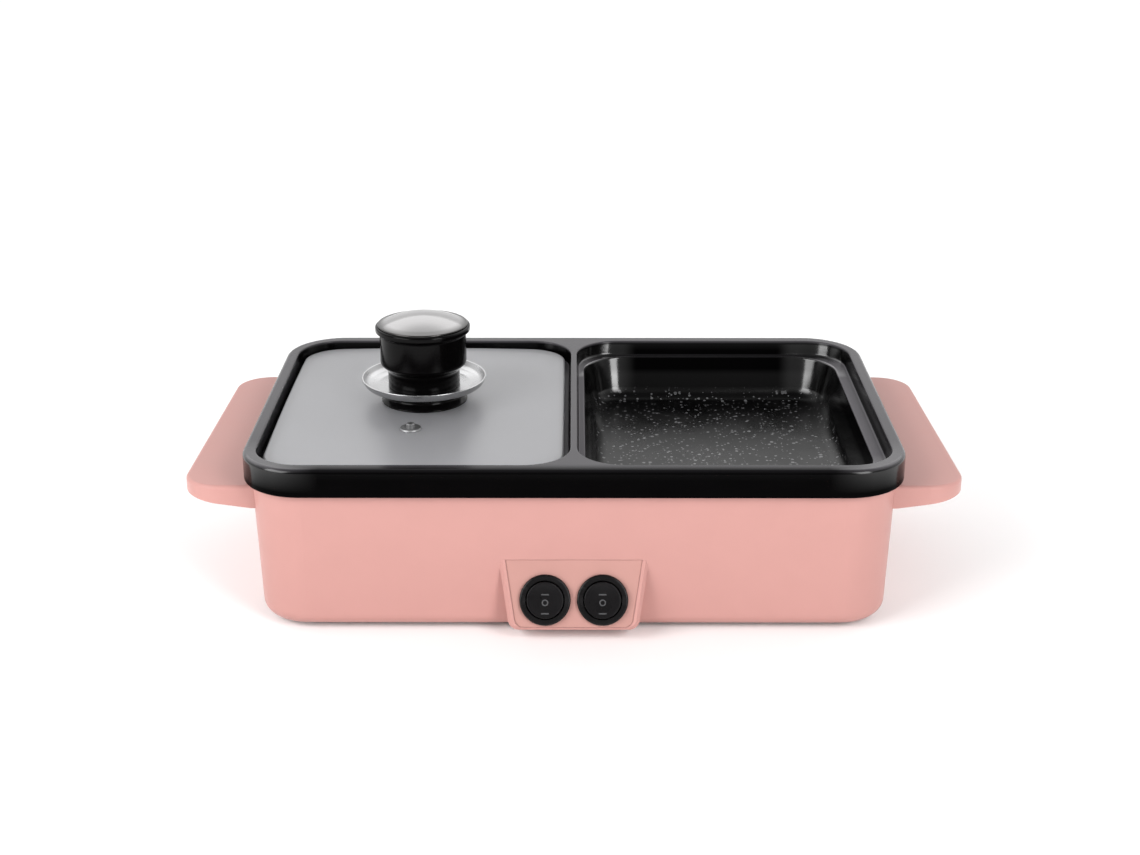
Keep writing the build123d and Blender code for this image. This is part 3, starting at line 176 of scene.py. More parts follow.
# Rocker switches, on the face of the pod
POD_TILT = 20.0
ROCKER_RADIUS = 8.4
ROCKER_SWEEP_RADIUS = 8.65
ROCKER_LOW = 5.0
ROCKER_MIDDLE = 2.2
ROCKER_END = 3.1
ROCKER_ROUNDING = 0.55
ROCKER_FACE_RADIUS = ROCKER_RADIUS - 2 * ROCKER_ROUNDING
ROCKER_FOOT_ROUNDING = 2.5
PIVOT_DEPTH = 0.8
PIVOT_RADIUS = 1.2
PIVOT_REACH = 9.6
PIVOT_SINK = 1.0
MARK_STROKE = 0.6
MARK_END_SHARE = 0.6
MARK_RING_SHARE = 0.98
MARK_BORDER = 0.12
MARK_LENGTH = 3.6
MARK_RADIUS = 1.5
MARK_HOLE_RADIUS = 0.95
MARK_DROP = 1.1
MARK_TOP_BAR = 3.7
MARK_LOW_BAR = -4.9
MARK_PROUD = 0.07
MARK_SINK = 0.15

# How finely curves are divided
ARC_STEPS = 14
SIDE_SHARES = np.array([0.02, 0.1, 0.3, 0.5, 0.7, 0.9, 0.98])
TURN_STEPS = 96
HOLE_TURN_STEPS = 48
SMALL_TURN_STEPS = 24
ROUNDING_STEPS = 6
FINE_ROUNDING_STEPS = 8
BOSS_ROUNDING_STEPS = 2
CROWN_STEPS = 16
DOME_STEPS = 15
HOLLOW_STEPS = 12
ROCKER_FACE_STEPS = 12

# Limits that keep small or crowded shapes sound
MERGE_DISTANCE = 0.002
SMALLEST_CORNER = 0.3
SMALLEST_RADIUS = 1e-6
LONGEST_TANGENT = 0.48

# Shading: faces that meet at more than this many degrees stay sharp
SHARP_ANGLE = 32.0
TRAY_SHARP_ANGLE = 40.0
GLASS_SHARP_ANGLE = 28.0
NORMAL_WEIGHT = 60


class Outline:
    """A rounded rectangle seen from above. Its loop always has the same number of points."""

    def __init__(self, left, right, front, back, corner):
        self.left, self.right = left, right
        self.front, self.back = front, back
        self.corner = corner

    def inset(self, side, end=None, left=None):
        """The outline drawn in at its sides and ends, or widened where negative."""
        end = side if end is None else end
        left = side if left is None else left
        corner = max(self.corner - (side + end) / 2, SMALLEST_CORNER)
        return Outline(self.left + left, self.right - side, self.front + end,
                       self.back - end, corner)

    def mirrored(self):
        """The same outline on the other side of the divider."""
        return Outline(-self.right, -self.left, self.front, self.back, self.corner)

    def loop(self, z):
        """Four quarter arcs joined by straight sides, anticlockwise, as an array of points."""
        c = self.corner
        centres = [(self.right - c, self.front + c), (self.right - c, self.back - c),
                   (self.left + c, self.back - c), (self.left + c, self.front + c)]
        arcs = []
        for turn, (x, y) in enumerate(centres):
            angle = np.linspace(turn - 1, turn, ARC_STEPS + 1) * pi / 2
            arcs.append(np.column_stack([x + c * np.cos(angle), y + c * np.sin(angle)]))
        parts = []
        for arc, following in zip(arcs, arcs[1:] + arcs[:1]):
            share = SIDE_SHARES[:, None]
            parts += [arc, arc[-1] * (1 - share) + following[0] * share]
        flat = np.concatenate(parts)
        return np.column_stack([flat, np.broadcast_to(z, len(flat))])


def circle(radius, z, x=0.0, y=0.0, steps=TURN_STEPS):
    """A level ring: the cosine and sine of equal turns, times the radius, about (x, y)."""
    angle = np.linspace(0, 2 * pi, steps, endpoint=False)
    return np.column_stack([x + radius * np.cos(angle), y + radius * np.sin(angle),
                            np.full(steps, z)])


def rounded_path(rings, radii, steps=ROUNDING_STEPS):
    """Rings that follow a profile whose corners are rounded.

    Each point of the first ring runs along straight lines through its fellows on the other
    rings. At a corner the two lines are joined by an arc: its tangent length is the radius
    divided by the tangent of half the angle between the lines, its centre lies on their
    bisector, and its points are the slerp between the two radii that end on the lines."""
    path = [rings[0]]
    for before, corner, after, radius in zip(rings, rings[1:], rings[2:], radii):
        if not radius:
            path.append(corner)
            continue
        back, ahead = before - corner, after - corner
        back_length = np.linalg.norm(back, axis=1, keepdims=True)
        ahead_length = np.linalg.norm(ahead, axis=1, keepdims=True)
        back, ahead = back / back_length, ahead / ahead_length
        between = np.arccos(np.clip((back * ahead).sum(1, keepdims=True), -1, 1))
        longest = LONGEST_TANGENT * np.minimum(back_length, ahead_length)
        tangent = np.minimum(radius / np.tan(between / 2), longest)
        true_radius = tangent * np.tan(between / 2)
        bisector = back + ahead
        bisector /= np.linalg.norm(bisector, axis=1, keepdims=True)
        centre = corner + bisector * true_radius / np.sin(between / 2)
        first, last = corner + back * tangent - centre, corner + ahead * tangent - centre
        sweep = pi - between
        for share in np.linspace(0, 1, steps + 1):
            mixed = first * np.sin((1 - share) * sweep) + last * np.sin(share * sweep)
            path.append(centre + mixed / np.sin(sweep))
    path.append(rings[-1])
    return path


class Shell:
    """Collects the parts of one closed surface as whole arrays of points and faces."""

    def __init__(self):
        self.points, self.faces, self.count = [], [], 0

    def add(self, points, faces):
        """Points, and faces that count from the first of these points."""
        self.points.append(points)
        self.faces += (np.asarray(faces) + self.count).tolist()
        self.count += len(points)

    def rings(self, rings):
        """Quads between each ring and the next one, closed round."""
        steps = len(rings[0])
        low = np.arange(len(rings) - 1)[:, None] * steps
        here = np.arange(steps)[None, :]
        ahead = (here + 1) % steps
        quads = np.stack([low + here, low + ahead, low + steps + ahead, low + steps + here],
                         axis=-1)
        self.add(np.concatenate(rings), quads.reshape(-1, 4))

    def cap(self, ring):
        """One flat face over a convex ring."""
        self.add(ring, [list(range(len(ring)))])

    def fill(self, *loops):
        """A level sheet of triangles inside the first loop and outside the others."""
        mesh = bpy.data.meshes.new("fill")
        starts = np.cumsum([0] + [len(loop) for loop in loops])
        edges = []
        for start, loop in zip(starts, loops):
            here = np.arange(len(loop))
            edges += np.column_stack([start + here, start + (here + 1) % len(loop)]).tolist()
        mesh.from_pydata(np.concatenate(loops).tolist(), edges, [])
        bm = bmesh.new()
        bm.from_mesh(mesh)
        bmesh.ops.triangle_fill(bm, use_beauty=True, use_dissolve=False, edges=bm.edges[:])
        bm.to_mesh(mesh)
        bm.free()
        points = np.zeros(len(mesh.vertices) * 3)
        mesh.vertices.foreach_get("co", points)
        corners = np.zeros(len(mesh.loops), int)
        mesh.loops.foreach_get("vertex_index", corners)
        bpy.data.meshes.remove(mesh)
        self.add(points.reshape(-1, 3), corners.reshape(-1, 3))

    def solid(self, rings):
        """Rings with a flat face over each end."""
        self.rings(rings)
        self.cap(rings[0])
        self.cap(rings[-1])

    def piece(self, name, turn=None):
        """The finished surface as an object: metres, at the tray's place, faces outwards."""
        points = np.concatenate(self.points)
        if turn is not None:
            points = points @ np.array(turn.to_3x3()).T + np.array(turn.translation)
        points = points * MM + np.array([0, rim_middle_y, 0])
        mesh = bpy.data.meshes.new(name)
        mesh.from_pydata(points.tolist(), [], self.faces)
        bm = bmesh.new()
        bm.from_mesh(mesh)
        bmesh.ops.remove_doubles(bm, verts=bm.verts[:], dist=MERGE_DISTANCE * MM)
        bmesh.ops.dissolve_degenerate(bm, edges=bm.edges[:], dist=MERGE_DISTANCE * MM)
        bmesh.ops.recalc_face_normals(bm, faces=bm.faces[:])
        bm.to_mesh(mesh)
        bm.free()
        thing = bpy.data.objects.new(name, mesh)
        bpy.context.scene.collection.objects.link(thing)
        return thing


def smooth(thing, angle=SHARP_ANGLE, weighted=True):
    """Smooth shading, sharp where two faces meet at more than the angle, flat faces kept flat."""
    thing.data.shade_smooth()
    thing.data.set_sharp_from_angle(angle=radians(angle))
    if not weighted:
        return thing
    weigh = thing.modifiers.new("weigh", "WEIGHTED_NORMAL")
    weigh.keep_sharp = True
    weigh.weight = NORMAL_WEIGHT
    return thing


def carve(thing, cutters):
    """Cuts closed cutters out of a closed piece and keeps the result."""
    for cutter in cutters:
        step = thing.modifiers.new("step", "BOOLEAN")
        step.operation = "DIFFERENCE"
        step.solver = "EXACT"
        step.object = cutter
    bpy.context.view_layer.update()
    ready = thing.evaluated_get(bpy.context.evaluated_depsgraph_get())
    mesh = bpy.data.meshes.new_from_object(ready)
    thing.modifiers.clear()
    old = thing.data
    thing.data = mesh
    mesh.name = thing.name
    bpy.data.meshes.remove(old)
    for cutter in cutters:
        bpy.data.objects.remove(cutter)
    return thing


# Outlines and heights that several pieces share
rim = Outline(tray_low.x / MM, tray_high.x / MM, (tray_low.y - rim_middle_y) / MM,
              (tray_high.y - rim_middle_y) / MM, TRAY_CORNER)
lip_z = tray_high.z / MM
ledge_z = lip_z - LEDGE_DROP
flange_z = ledge_z - TRAY_WALL


class Compartment:
    """Outlines and heights of one compartment, worked out on the right of the divider."""

    def __init__(self, side, depth, draft, rounding, divider_ledge):
        self.side = side
        self.floor = lip_z - depth
        self.under = self.floor - TRAY_FLOOR
        self.rounding = rounding
        mouth = Outline(DIVIDER_WIDTH / 2, rim.right - LIP_SIDE, rim.front + LIP_END,
                        rim.back - LIP_END, MOUTH_CORNER)
        ledge = mouth.inset(MOUTH_LEAN, MOUTH_LEAN, DIVIDER_LEAN)
        deep = ledge.inset(LEDGE_SIDE, LEDGE_END, divider_ledge)
        deep.corner = DEEP_CORNER
        bottom = deep.inset((ledge_z - self.floor) * tan(radians(draft)))
        outlines = [mouth, ledge, deep, bottom]
        if side < 0:
            outlines = [outline.mirrored() for outline in outlines]
        self.mouth, self.ledge, self.deep, self.bottom = outlines
        self.x = (self.bottom.left + self.bottom.right) / 2

    def add_inside(self, shell):
        """From the flat lip over the mouth's rounded edge, the ledge and the wall to the floor."""
        flat = self.mouth.inset(-MOUTH_FLAT).loop(lip_z)
        floor = self.bottom.inset(FLOOR_BORDER).loop(self.floor)
        shell.rings(rounded_path(
            [flat, self.mouth.loop(lip_z), self.ledge.loop(ledge_z), self.deep.loop(ledge_z),
             self.bottom.loop(self.floor), floor],
            [MOUTH_ROUNDING, LEDGE_ROUNDING, LEDGE_ROUNDING, self.rounding], FINE_ROUNDING_STEPS))
        shell.cap(floor)
        return flat

    def add_underside(self, shell):
        """The outside of the wall and floor, a wall's thickness out, below the flange."""
        top = self.deep.inset(-TRAY_WALL).loop(flange_z)
        floor = self.bottom.inset(FLOOR_BORDER).loop(self.under)
        shell.rings(rounded_path([top, self.bottom.inset(-TRAY_WALL).loop(self.under), floor],
                                 [self.rounding + TRAY_WALL], FINE_ROUNDING_STEPS))
        shell.cap(floor)
        return top

    def bosses(self):
        """Place, seat height, radius, bore radius and bore depth of each cast boss."""
        outer = self.bottom.right if self.side > 0 else self.bottom.left
        far = outer - self.side * HEATER_SIDE_INSET
        reach = abs(far - self.x) - HEATER_RADIUS - CLAMP_BOSS_RADIUS - CLAMP_CLEARANCE
        rows = []
        for turn in (-1, 1):
            rows.append((self.x + turn * reach, 0, self.under - 2 * HEATER_RADIUS,
                         CLAMP_BOSS_RADIUS, CLAMP_BORE, CLAMP_BORE_DEPTH))
            rows.append((self.x, turn * STRAP_SPACING / 2, self.under - STRAP_DROP,
                         STRAP_BOSS_RADIUS, STRAP_BORE, STRAP_BORE_DEPTH))
            rows.append((self.x, turn * PILLAR_SPACING / 2, PILLAR_SEAT_Z,
                         PILLAR_BOSS_RADIUS, PILLAR_BORE, PILLAR_BORE_DEPTH))
        return rows


pot = Compartment(-1, POT_DEPTH, POT_DRAFT, POT_FLOOR_ROUNDING, POT_DIVIDER_LEDGE)
grill = Compartment(1, GRILL_DEPTH, GRILL_DRAFT, GRILL_FLOOR_ROUNDING, GRILL_DIVIDER_LEDGE)
compartments = [pot, grill]


def add_lathe(shell, profile, radii, x=0.0, y=0.0, steps=ROUNDING_STEPS, turn_steps=TURN_STEPS):
    """A profile of (radius, height) points with rounded corners, turned about an upright line."""
    rings = [circle(max(radius, SMALLEST_RADIUS), z, x, y, turn_steps) for radius, z in profile]
    shell.rings(rounded_path(rings, radii, steps))


def add_boss(shell, root, x, y, low, radius, bore, depth):
    """A cast stud with a blind bore in its lower end, from its root inside the floor."""
    add_lathe(shell, [(0, root), (radius, root), (radius, low), (bore, low), (bore, low + depth),
                      (0, low + depth)],
              [0, BOSS_ROUNDING, BORE_ROUNDING, 0], x, y, BOSS_ROUNDING_STEPS, SMALL_TURN_STEPS)


def make_tray():
    """The cast tray: lip, skirt, two compartments with ledges, and bosses below."""
    shell = Shell()
    skirt_low = lip_z - RIM_HEIGHT
    skirt_inside = rim.inset(SKIRT_WALL)
    lip = rim.inset(LIP_FLAT).loop(lip_z)
    hem = skirt_inside.inset(SKIRT_STEP).loop(flange_z)
    shell.rings(rounded_path(
        [lip, rim.loop(lip_z), rim.loop(skirt_low), skirt_inside.loop(skirt_low),
         skirt_inside.loop(flange_z), hem],
        [RIM_ROUNDING, SKIRT_ROUNDING, SKIRT_ROUNDING, 0], FINE_ROUNDING_STEPS))
    shell.fill(lip, *[c.add_inside(shell) for c in compartments])
    shell.fill(hem, *[c.add_underside(shell) for c in compartments])
    for c in compartments:
        for boss in c.bosses():
            add_boss(shell, c.under + TRAY_FLOOR / 2, *boss)
    return smooth(shell.piece("cast_tray"), TRAY_SHARP_ANGLE)


# The lid's outline, its crown and the knob's axis
lid_outline = pot.mouth.inset(LID_GAP)
knob_x = (lid_outline.left + lid_outline.right) / 2
crown_span = sqrt(((lid_outline.right - lid_outline.left) / 2) ** 2 + lid_outline.back ** 2)
crown_radius = (crown_span ** 2 + GLASS_CROWN ** 2) / (2 * GLASS_CROWN)
glass_top = ledge_z + GLASS_EDGE + GLASS_CROWN


def crowned(loop, drop=0.0):
    """A loop laid on the ball that crowns the lid, or on one with the same centre below it.

    Its height above the ball's centre is the root of the radius squared less the distance
    from the knob's axis squared."""
    across = (loop[:, 0] - knob_x) ** 2 + loop[:, 1] ** 2
    height = np.sqrt((crown_radius - drop) ** 2 - across)
    return np.column_stack([loop[:, :2], glass_top - crown_radius + height])


def add_crown(shell, loop, drop=0.0):
    """The ball's surface inside a loop: the loop drawn in towards the knob's axis."""
    axis = np.array([knob_x, 0, 0])
    shares = np.linspace(1, CROWN_LAST_SHARE, CROWN_STEPS)
    rings = [crowned(axis + (loop - axis) * share, drop) for share in shares]
    shell.rings(rings)
    shell.cap(rings[-1])


def hole_cutter(name, radius, x, y):
    """An upright rod that reaches through the glass."""
    cutter = Shell()
    top = glass_top + GLASS_CROWN
    add_lathe(cutter, [(0, ledge_z), (radius, ledge_z), (radius, top), (0, top)],
              [0, 0], x, y, turn_steps=HOLE_TURN_STEPS)
    return cutter.piece(name)


def make_glass():
    """A toughened plate: crowned above, hollow below inside a flat seat, with two holes."""
    shell = Shell()
    wide = lid_outline
    inner = wide.inset(GLASS_SEAT)
    brink = crowned(wide.inset(GLASS_BRINK).loop(0))
    seat_flat = wide.inset(GLASS_BRINK).loop(ledge_z)
    shell.rings(rounded_path([seat_flat, wide.loop(ledge_z), crowned(wide.loop(0)), brink],
                             [GLASS_ROUNDING, GLASS_TOP_ROUNDING]))
    add_crown(shell, brink)
    hollow = crowned(inner.loop(0), GLASS_THICKNESS)
    hollow_in = crowned(inner.inset(HOLLOW_STEP_IN).loop(0), GLASS_THICKNESS)
    shell.rings([seat_flat, inner.inset(-HOLLOW_STEP_OUT).loop(ledge_z), inner.loop(ledge_z),
                 hollow, hollow_in])
    add_crown(shell, hollow_in, GLASS_THICKNESS)
    plate = shell.piece("toughened_glass")
    carve(plate, [hole_cutter("knob_hole", GLASS_HOLE_RADIUS, knob_x, 0),
                  hole_cutter("vent_hole", VENT_HOLE_RADIUS, knob_x + VENT_X, VENT_Y)])
    return smooth(plate, GLASS_SHARP_ANGLE, weighted=False)


# Heights of the knob's parts
base_top = glass_top + BASE_HEIGHT
grip_low = base_top + GUARD_THICKNESS
grip_top = grip_low + GRIP_HEIGHT


def make_knob_base():
    """The flared foot: a rounded lip on the glass, a concave flare and an upright drum."""
    shell = Shell()
    low = glass_top
    start = (SEAL_SEAT_RADIUS, low + SEAL_THICKNESS / 2)
    add_lathe(shell, [start, (SEAL_SEAT_RADIUS, low), (BASE_RADIUS, low),
                      (BASE_RADIUS, low + BASE_LIP), (BASE_TOP_RADIUS, low + BASE_FLARE),
                      (BASE_TOP_RADIUS, base_top), (KNOB_BORE, base_top),
                      (KNOB_BORE, low + SEAL_THICKNESS), (SEAL_SEAT_RADIUS, low + SEAL_THICKNESS),
                      start],
              [0, BASE_FOOT_ROUNDING, BASE_LIP_ROUNDING, BASE_FLARE_ROUNDING, BASE_TOP_ROUNDING,
               0, 0, 0], knob_x)
    return smooth(shell.piece("knob_foot"))


def make_guard():
    """A pressed dish: flat in the middle, swept up in a curve, with a rolled rim."""
    shell = Shell()
    low, high = base_top, base_top + GUARD_RISE
    inner_low = low + GUARD_THICKNESS
    start = (KNOB_BORE, low + GUARD_THICKNESS / 2)
    bend = GUARD_FLAT_RADIUS + (GUARD_RADIUS - GUARD_FLAT_RADIUS) * GUARD_BEND_SHARE
    inner_bend = bend - GUARD_INNER_BEND_STEP
    add_lathe(shell, [start, (KNOB_BORE, low), (GUARD_FLAT_RADIUS, low),
                      (bend, low + GUARD_BEND_RISE), (GUARD_RADIUS, high),
                      (GUARD_RADIUS - GUARD_THICKNESS, high),
                      (inner_bend, inner_low + GUARD_INNER_BEND_RISE),
                      (GUARD_FLAT_RADIUS, inner_low), (KNOB_BORE, inner_low), start],
              [0, GUARD_FOOT_ROUNDING, GUARD_BEND_ROUNDING, GUARD_RIM_ROUNDING, GUARD_RIM_ROUNDING,
               GUARD_INNER_BEND_ROUNDING, GUARD_INNER_FOOT_ROUNDING, 0],
              knob_x, steps=FINE_ROUNDING_STEPS)
    return smooth(shell.piece("knob_dish"))


def make_grip():
    """The black grip: neck, swelling with a soft step, and a flange under the cap."""
    shell = Shell()
    neck_top = grip_low + GRIP_NECK_HEIGHT
    flange_low = grip_top - GRIP_FLANGE_HEIGHT
    insert_low = grip_low + INSERT_SINK
    insert_high = insert_low + INSERT_LENGTH
    start = (INSERT_RADIUS, (insert_low + insert_high) / 2)
    add_lathe(shell, [start, (INSERT_RADIUS, insert_low), (KNOB_BORE, insert_low),
                      (KNOB_BORE, grip_low), (GRIP_NECK_RADIUS, grip_low),
                      (GRIP_NECK_RADIUS, neck_top - GRIP_STEP), (GRIP_RADIUS, neck_top + GRIP_STEP),
                      (GRIP_RADIUS, flange_low - GRIP_FLANGE_SLOPE),
                      (GRIP_FLANGE_RADIUS, flange_low), (GRIP_FLANGE_RADIUS, grip_top),
                      (0, grip_top)],
              [0, 0, 0, GRIP_FOOT_ROUNDING, GRIP_STEP_ROUNDING, GRIP_STEP_ROUNDING,
               GRIP_SLOPE_ROUNDING, GRIP_FLANGE_ROUNDING, GRIP_TOP_ROUNDING], knob_x)
    add_lathe(shell, [(0, insert_high), (INSERT_RADIUS, insert_high), start], [0], knob_x)
    return smooth(shell.piece("knob_grip"))


def make_cap():
    """The domed plate on the grip: part of a ball, with a small upright edge.

    A ring's height above the ball's centre is the root of the ball's radius squared less the
    ring's radius squared, and the hollow below follows a smaller ball about that centre."""
    shell = Shell()
    ball = (CAP_RADIUS ** 2 + CAP_RISE ** 2) / (2 * CAP_RISE)
    centre = grip_top + CAP_RISE - ball
    radii = np.linspace(CAP_RADIUS, 0, DOME_STEPS)
    lift = np.sqrt(ball ** 2 - radii ** 2)
    dome = list(zip(radii[1:], centre + lift[1:]))
    inner = ball - CAP_THICKNESS
    inner_radii = np.linspace(0, sqrt(inner ** 2 - (grip_top - centre) ** 2), HOLLOW_STEPS)
    hollow = list(zip(inner_radii, centre + np.sqrt(inner ** 2 - inner_radii ** 2)))
    edge = [(CAP_RADIUS, grip_top + CAP_EDGE), (CAP_RADIUS, grip_top)]
    roundings = [0] * (len(dome) - 1) + [CAP_EDGE_ROUNDING, CAP_FOOT_ROUNDING]
    roundings += [0] * (len(hollow) - 1)
    add_lathe(shell, dome[::-1] + edge + hollow[::-1], roundings, knob_x)
    return smooth(shell.piece("knob_dome"))


# The switches are drawn on planes of their own: x right, y up the face, z out of it
tilt = radians(POD_TILT)


def switch_plane(side):
    """The plane of one switch, taken from where the frame has its rocker's axis."""
    joint = [j for j in frame["joints"] if j["name"] == f"{side}_rocker_tip"][0]
    x, y, z = joint["pos_m"]
    out = Vector((0, -cos(tilt), sin(tilt)))
    up = Vector((0, sin(tilt), cos(tilt)))
    axis = Vector((x / MM, (y - rim_middle_y) / MM, z / MM)) + out * PIVOT_DEPTH
    turn = Matrix((Vector((1, 0, 0)), up, out)).transposed().to_4x4()
    turn.translation = axis
    return turn


dish_rise = ROCKER_END - ROCKER_MIDDLE
dish_radius = (ROCKER_RADIUS ** 2 + dish_rise ** 2) / (2 * dish_rise)


def dished(loop, lift=0.0):
    """A loop laid on the rocker's face, which is hollow along y like the inside of a drum.

    Its height is the drum's axis less the root of the drum's radius squared less y squared."""
    height = ROCKER_MIDDLE + dish_radius - np.sqrt(dish_radius ** 2 - loop[:, 1] ** 2)
    return np.column_stack([loop[:, :2], height + lift])


def make_rocker(side):
    """A round button with a dished face and a rounded brink, on two pivot pins."""
    shell = Shell()
    low_radius = sqrt(ROCKER_SWEEP_RADIUS ** 2 - (ROCKER_LOW - PIVOT_DEPTH) ** 2)
    waist = -PIVOT_DEPTH - sqrt(ROCKER_SWEEP_RADIUS ** 2 - ROCKER_RADIUS ** 2)
    inner = dished(circle(ROCKER_FACE_RADIUS, 0))
    rings = rounded_path([circle(low_radius, -ROCKER_LOW), circle(ROCKER_RADIUS, waist),
                          dished(circle(ROCKER_RADIUS, 0)), inner],
                         [ROCKER_FOOT_ROUNDING, ROCKER_ROUNDING])
    shell.cap(rings[0])
    shell.rings(rings)
    faces = [dished(circle(ROCKER_FACE_RADIUS * share, 0))
             for share in np.linspace(1, 0, ROCKER_FACE_STEPS)[:-1]]
    shell.rings(faces)
    shell.cap(faces[-1])
    ring = circle(PIVOT_RADIUS, 0, steps=SMALL_TURN_STEPS)
    for way in (-1, 1):
        root = np.full(SMALL_TURN_STEPS, way * (ROCKER_RADIUS - PIVOT_SINK))
        start = np.column_stack([root, ring[:, 0], ring[:, 1] - PIVOT_DEPTH])
        end = start + np.array([way * (PIVOT_REACH - ROCKER_RADIUS + PIVOT_SINK), 0, 0])
        shell.solid([start, end])
    return smooth(shell.piece(f"rocker_button_{side}", switch_plane(side)))


def add_mark(shell, outline, hole=None):
    """A thin raised pad that follows the dished face, with an open middle if asked."""
    border = outline.inset(MARK_BORDER).loop(0)
    rings = [dished(outline.loop(0), -MARK_SINK), dished(outline.loop(0), MARK_PROUD / 2),
             dished(border, MARK_PROUD)]
    shell.rings(rings)
    if hole is None:
        shell.cap(rings[-1])
        shell.cap(rings[0])
        return
    hole_border = dished(hole.inset(-MARK_BORDER).loop(0), MARK_PROUD)
    inside = [hole_border, dished(hole.loop(0), MARK_PROUD / 2), dished(hole.loop(0), -MARK_SINK)]
    shell.rings([rings[-1]] + inside + [rings[0]])


def make_marks(side):
    """Generic position marks: a bar, a ring and another bar, down the rocker's face."""
    shell = Shell()
    half, stroke = MARK_LENGTH / 2, MARK_STROKE / 2
    round_end = stroke * MARK_END_SHARE
    for bar in (MARK_TOP_BAR, MARK_LOW_BAR):
        y = bar - MARK_DROP
        add_mark(shell, Outline(-half, half, y - stroke, y + stroke, round_end))
    ring, hole = [Outline(-r, r, -r - MARK_DROP, r - MARK_DROP, r * MARK_RING_SHARE)
                  for r in (MARK_RADIUS, MARK_HOLE_RADIUS)]
    add_mark(shell, ring, hole)
    return smooth(shell.piece(f"rocker_marks_{side}", switch_plane(side)))


class Recipe:
    """The nodes of one material or world. A value is a number, a colour or a node's output."""

    def __init__(self, tree, shader="Principled BSDF"):
        self.nodes, self.links = tree.nodes, tree.links
        self.shader = tree.nodes[shader]

    def feed(self, socket, value):
        """Joins a node's output to a socket, or sets the socket to a plain value."""
        if isinstance(value, bpy.types.NodeSocket):
            self.links.new(value, socket)
        else:
            socket.default_value = value

    def give(self, name, value):
        """Feeds one of the shader's own inputs."""
        self.feed(self.shader.inputs[name], value)

    def given(self, name):
        """The output that feeds one of the shader's inputs so far."""
        return self.shader.inputs[name].links[0].from_socket

    def node(self, kind, inputs=None, **settings):
        """A new node. Its settings come before its inputs, because they can change these."""
        made = self.nodes.new(f"ShaderNode{kind}")
        for setting, value in settings.items():
            setattr(made, setting, value)
        for name, value in (inputs or {}).items():
            self.feed(made.inputs[name], value)
        return made

    def math(self, operation, *values):
        """One step of arithmetic on up to three values."""
        return self.node("Math", dict(enumerate(values)), operation=operation).outputs["Value"]

    def overlap(self, *masks):
        """Where all the masks are on: their product."""
        shared = masks[0]
        for mask in masks[1:]:
            shared = self.math("MULTIPLY", shared, mask)
        return shared

    def fade(self, value, start, end, low=0.0, high=1.0, soft=False):
        """Low where the value is at the start, high where it is at the end, level beyond them."""
        spans = {"Value": value, "From Min": start, "From Max": end, "To Min": low, "To Max": high}
        way = "SMOOTHSTEP" if soft else "LINEAR"
        return self.node("MapRange", spans, interpolation_type=way).outputs["Result"]

    def blend(self, factor, under, over):
        """One colour laid over another, fully where the factor is 1."""
        layers = {"Factor": factor, "A": under, "B": over}
        return self.node("Mix", layers, data_type="RGBA").outputs["Result"]

    def noise(self, place, scale, detail):
        """Cloudy values around one half."""
        cloud = self.node("TexNoise", {"Vector": place, "Scale": scale, "Detail": detail})
        return cloud.outputs["Fac"]

    def mapped(self, scale=(1, 1, 1), shift=(0, 0, 0)):
        """The object's own coordinates in metres, scaled and then moved."""
        place = self.node("TexCoord").outputs["Object"]
        change = {"Vector": place, "Scale": scale, "Location": shift}
        return self.node("Mapping", change).outputs["Vector"]

    def axes(self, vector):
        """The x, y and z of a vector."""
        split = self.node("SeparateXYZ", {"Vector": vector})
        return split.outputs["X"], split.outputs["Y"], split.outputs["Z"]

    def rim_axes(self):
        """Each point's x, y and z in millimetres about the rim's middle, as the shapes have them."""
        return self.axes(self.mapped([1 / MM] * 3, (0, -rim_middle_y / MM, 0)))


# Every finish: its broad drifts are this many times wider than its grain
DRIFT_BREADTH = 12
DRIFT_SPAN = (0.3, 0.7)
DRIFT_DETAIL = 3
GRAIN_DETAIL = 4
GRAIN_STRENGTH = 0.5
POINTED_SPAN = (0.52, 0.62)
WORN_GAIN = 1.6
WORN_LIFT = 0.06
LEAST_ROUGHNESS = 0.02


def finish(name, colour, roughness, metallic=0.0, specular=0.5, tone=0.05, grain=400.0,
           relief=0.02, spread=0.06, wear=0.0, stretch=(1, 1, 1)):
    """A surface of one stuff: two tones in broad drifts, a fine grain in relief and worn edges.

    Grain is in cells to the metre and relief in millimetres. Tone and spread are how far the
    colour and the roughness stray, and wear is how much of the bare colour the edges show."""
    material = bpy.data.materials.new(name)
    material.use_nodes = True
    recipe = Recipe(material.node_tree)
    place = recipe.mapped(stretch)
    drift = recipe.noise(place, grain / DRIFT_BREADTH, DRIFT_DETAIL)
    fine = recipe.noise(place, grain, GRAIN_DETAIL)
    tones = recipe.node("ValToRGB", {"Fac": drift})
    for stop, position, share in zip(tones.color_ramp.elements, DRIFT_SPAN, (1 - tone, 1 + tone)):
        stop.position = position
        stop.color = (*[min(c * share, 1) for c in colour], 1)
    surface = tones.outputs["Color"]
    if wear:
        edge = recipe.fade(recipe.node("NewGeometry").outputs["Pointiness"], *POINTED_SPAN, high=wear)
        bare = (*[min(c * WORN_GAIN + WORN_LIFT, 1) for c in colour], 1)
        surface = recipe.blend(edge, surface, bare)
    recipe.give("Base Color", surface)
    smoothest = max(roughness - spread, LEAST_ROUGHNESS)
    recipe.give("Roughness", recipe.fade(drift, *DRIFT_SPAN, smoothest, roughness + spread))
    bump = recipe.node("Bump", {"Strength": GRAIN_STRENGTH, "Distance": relief * MM, "Height": fine})
    recipe.give("Normal", bump.outputs["Normal"])
    recipe.give("Metallic", metallic)
    recipe.give("Specular IOR Level", specular)
    return material


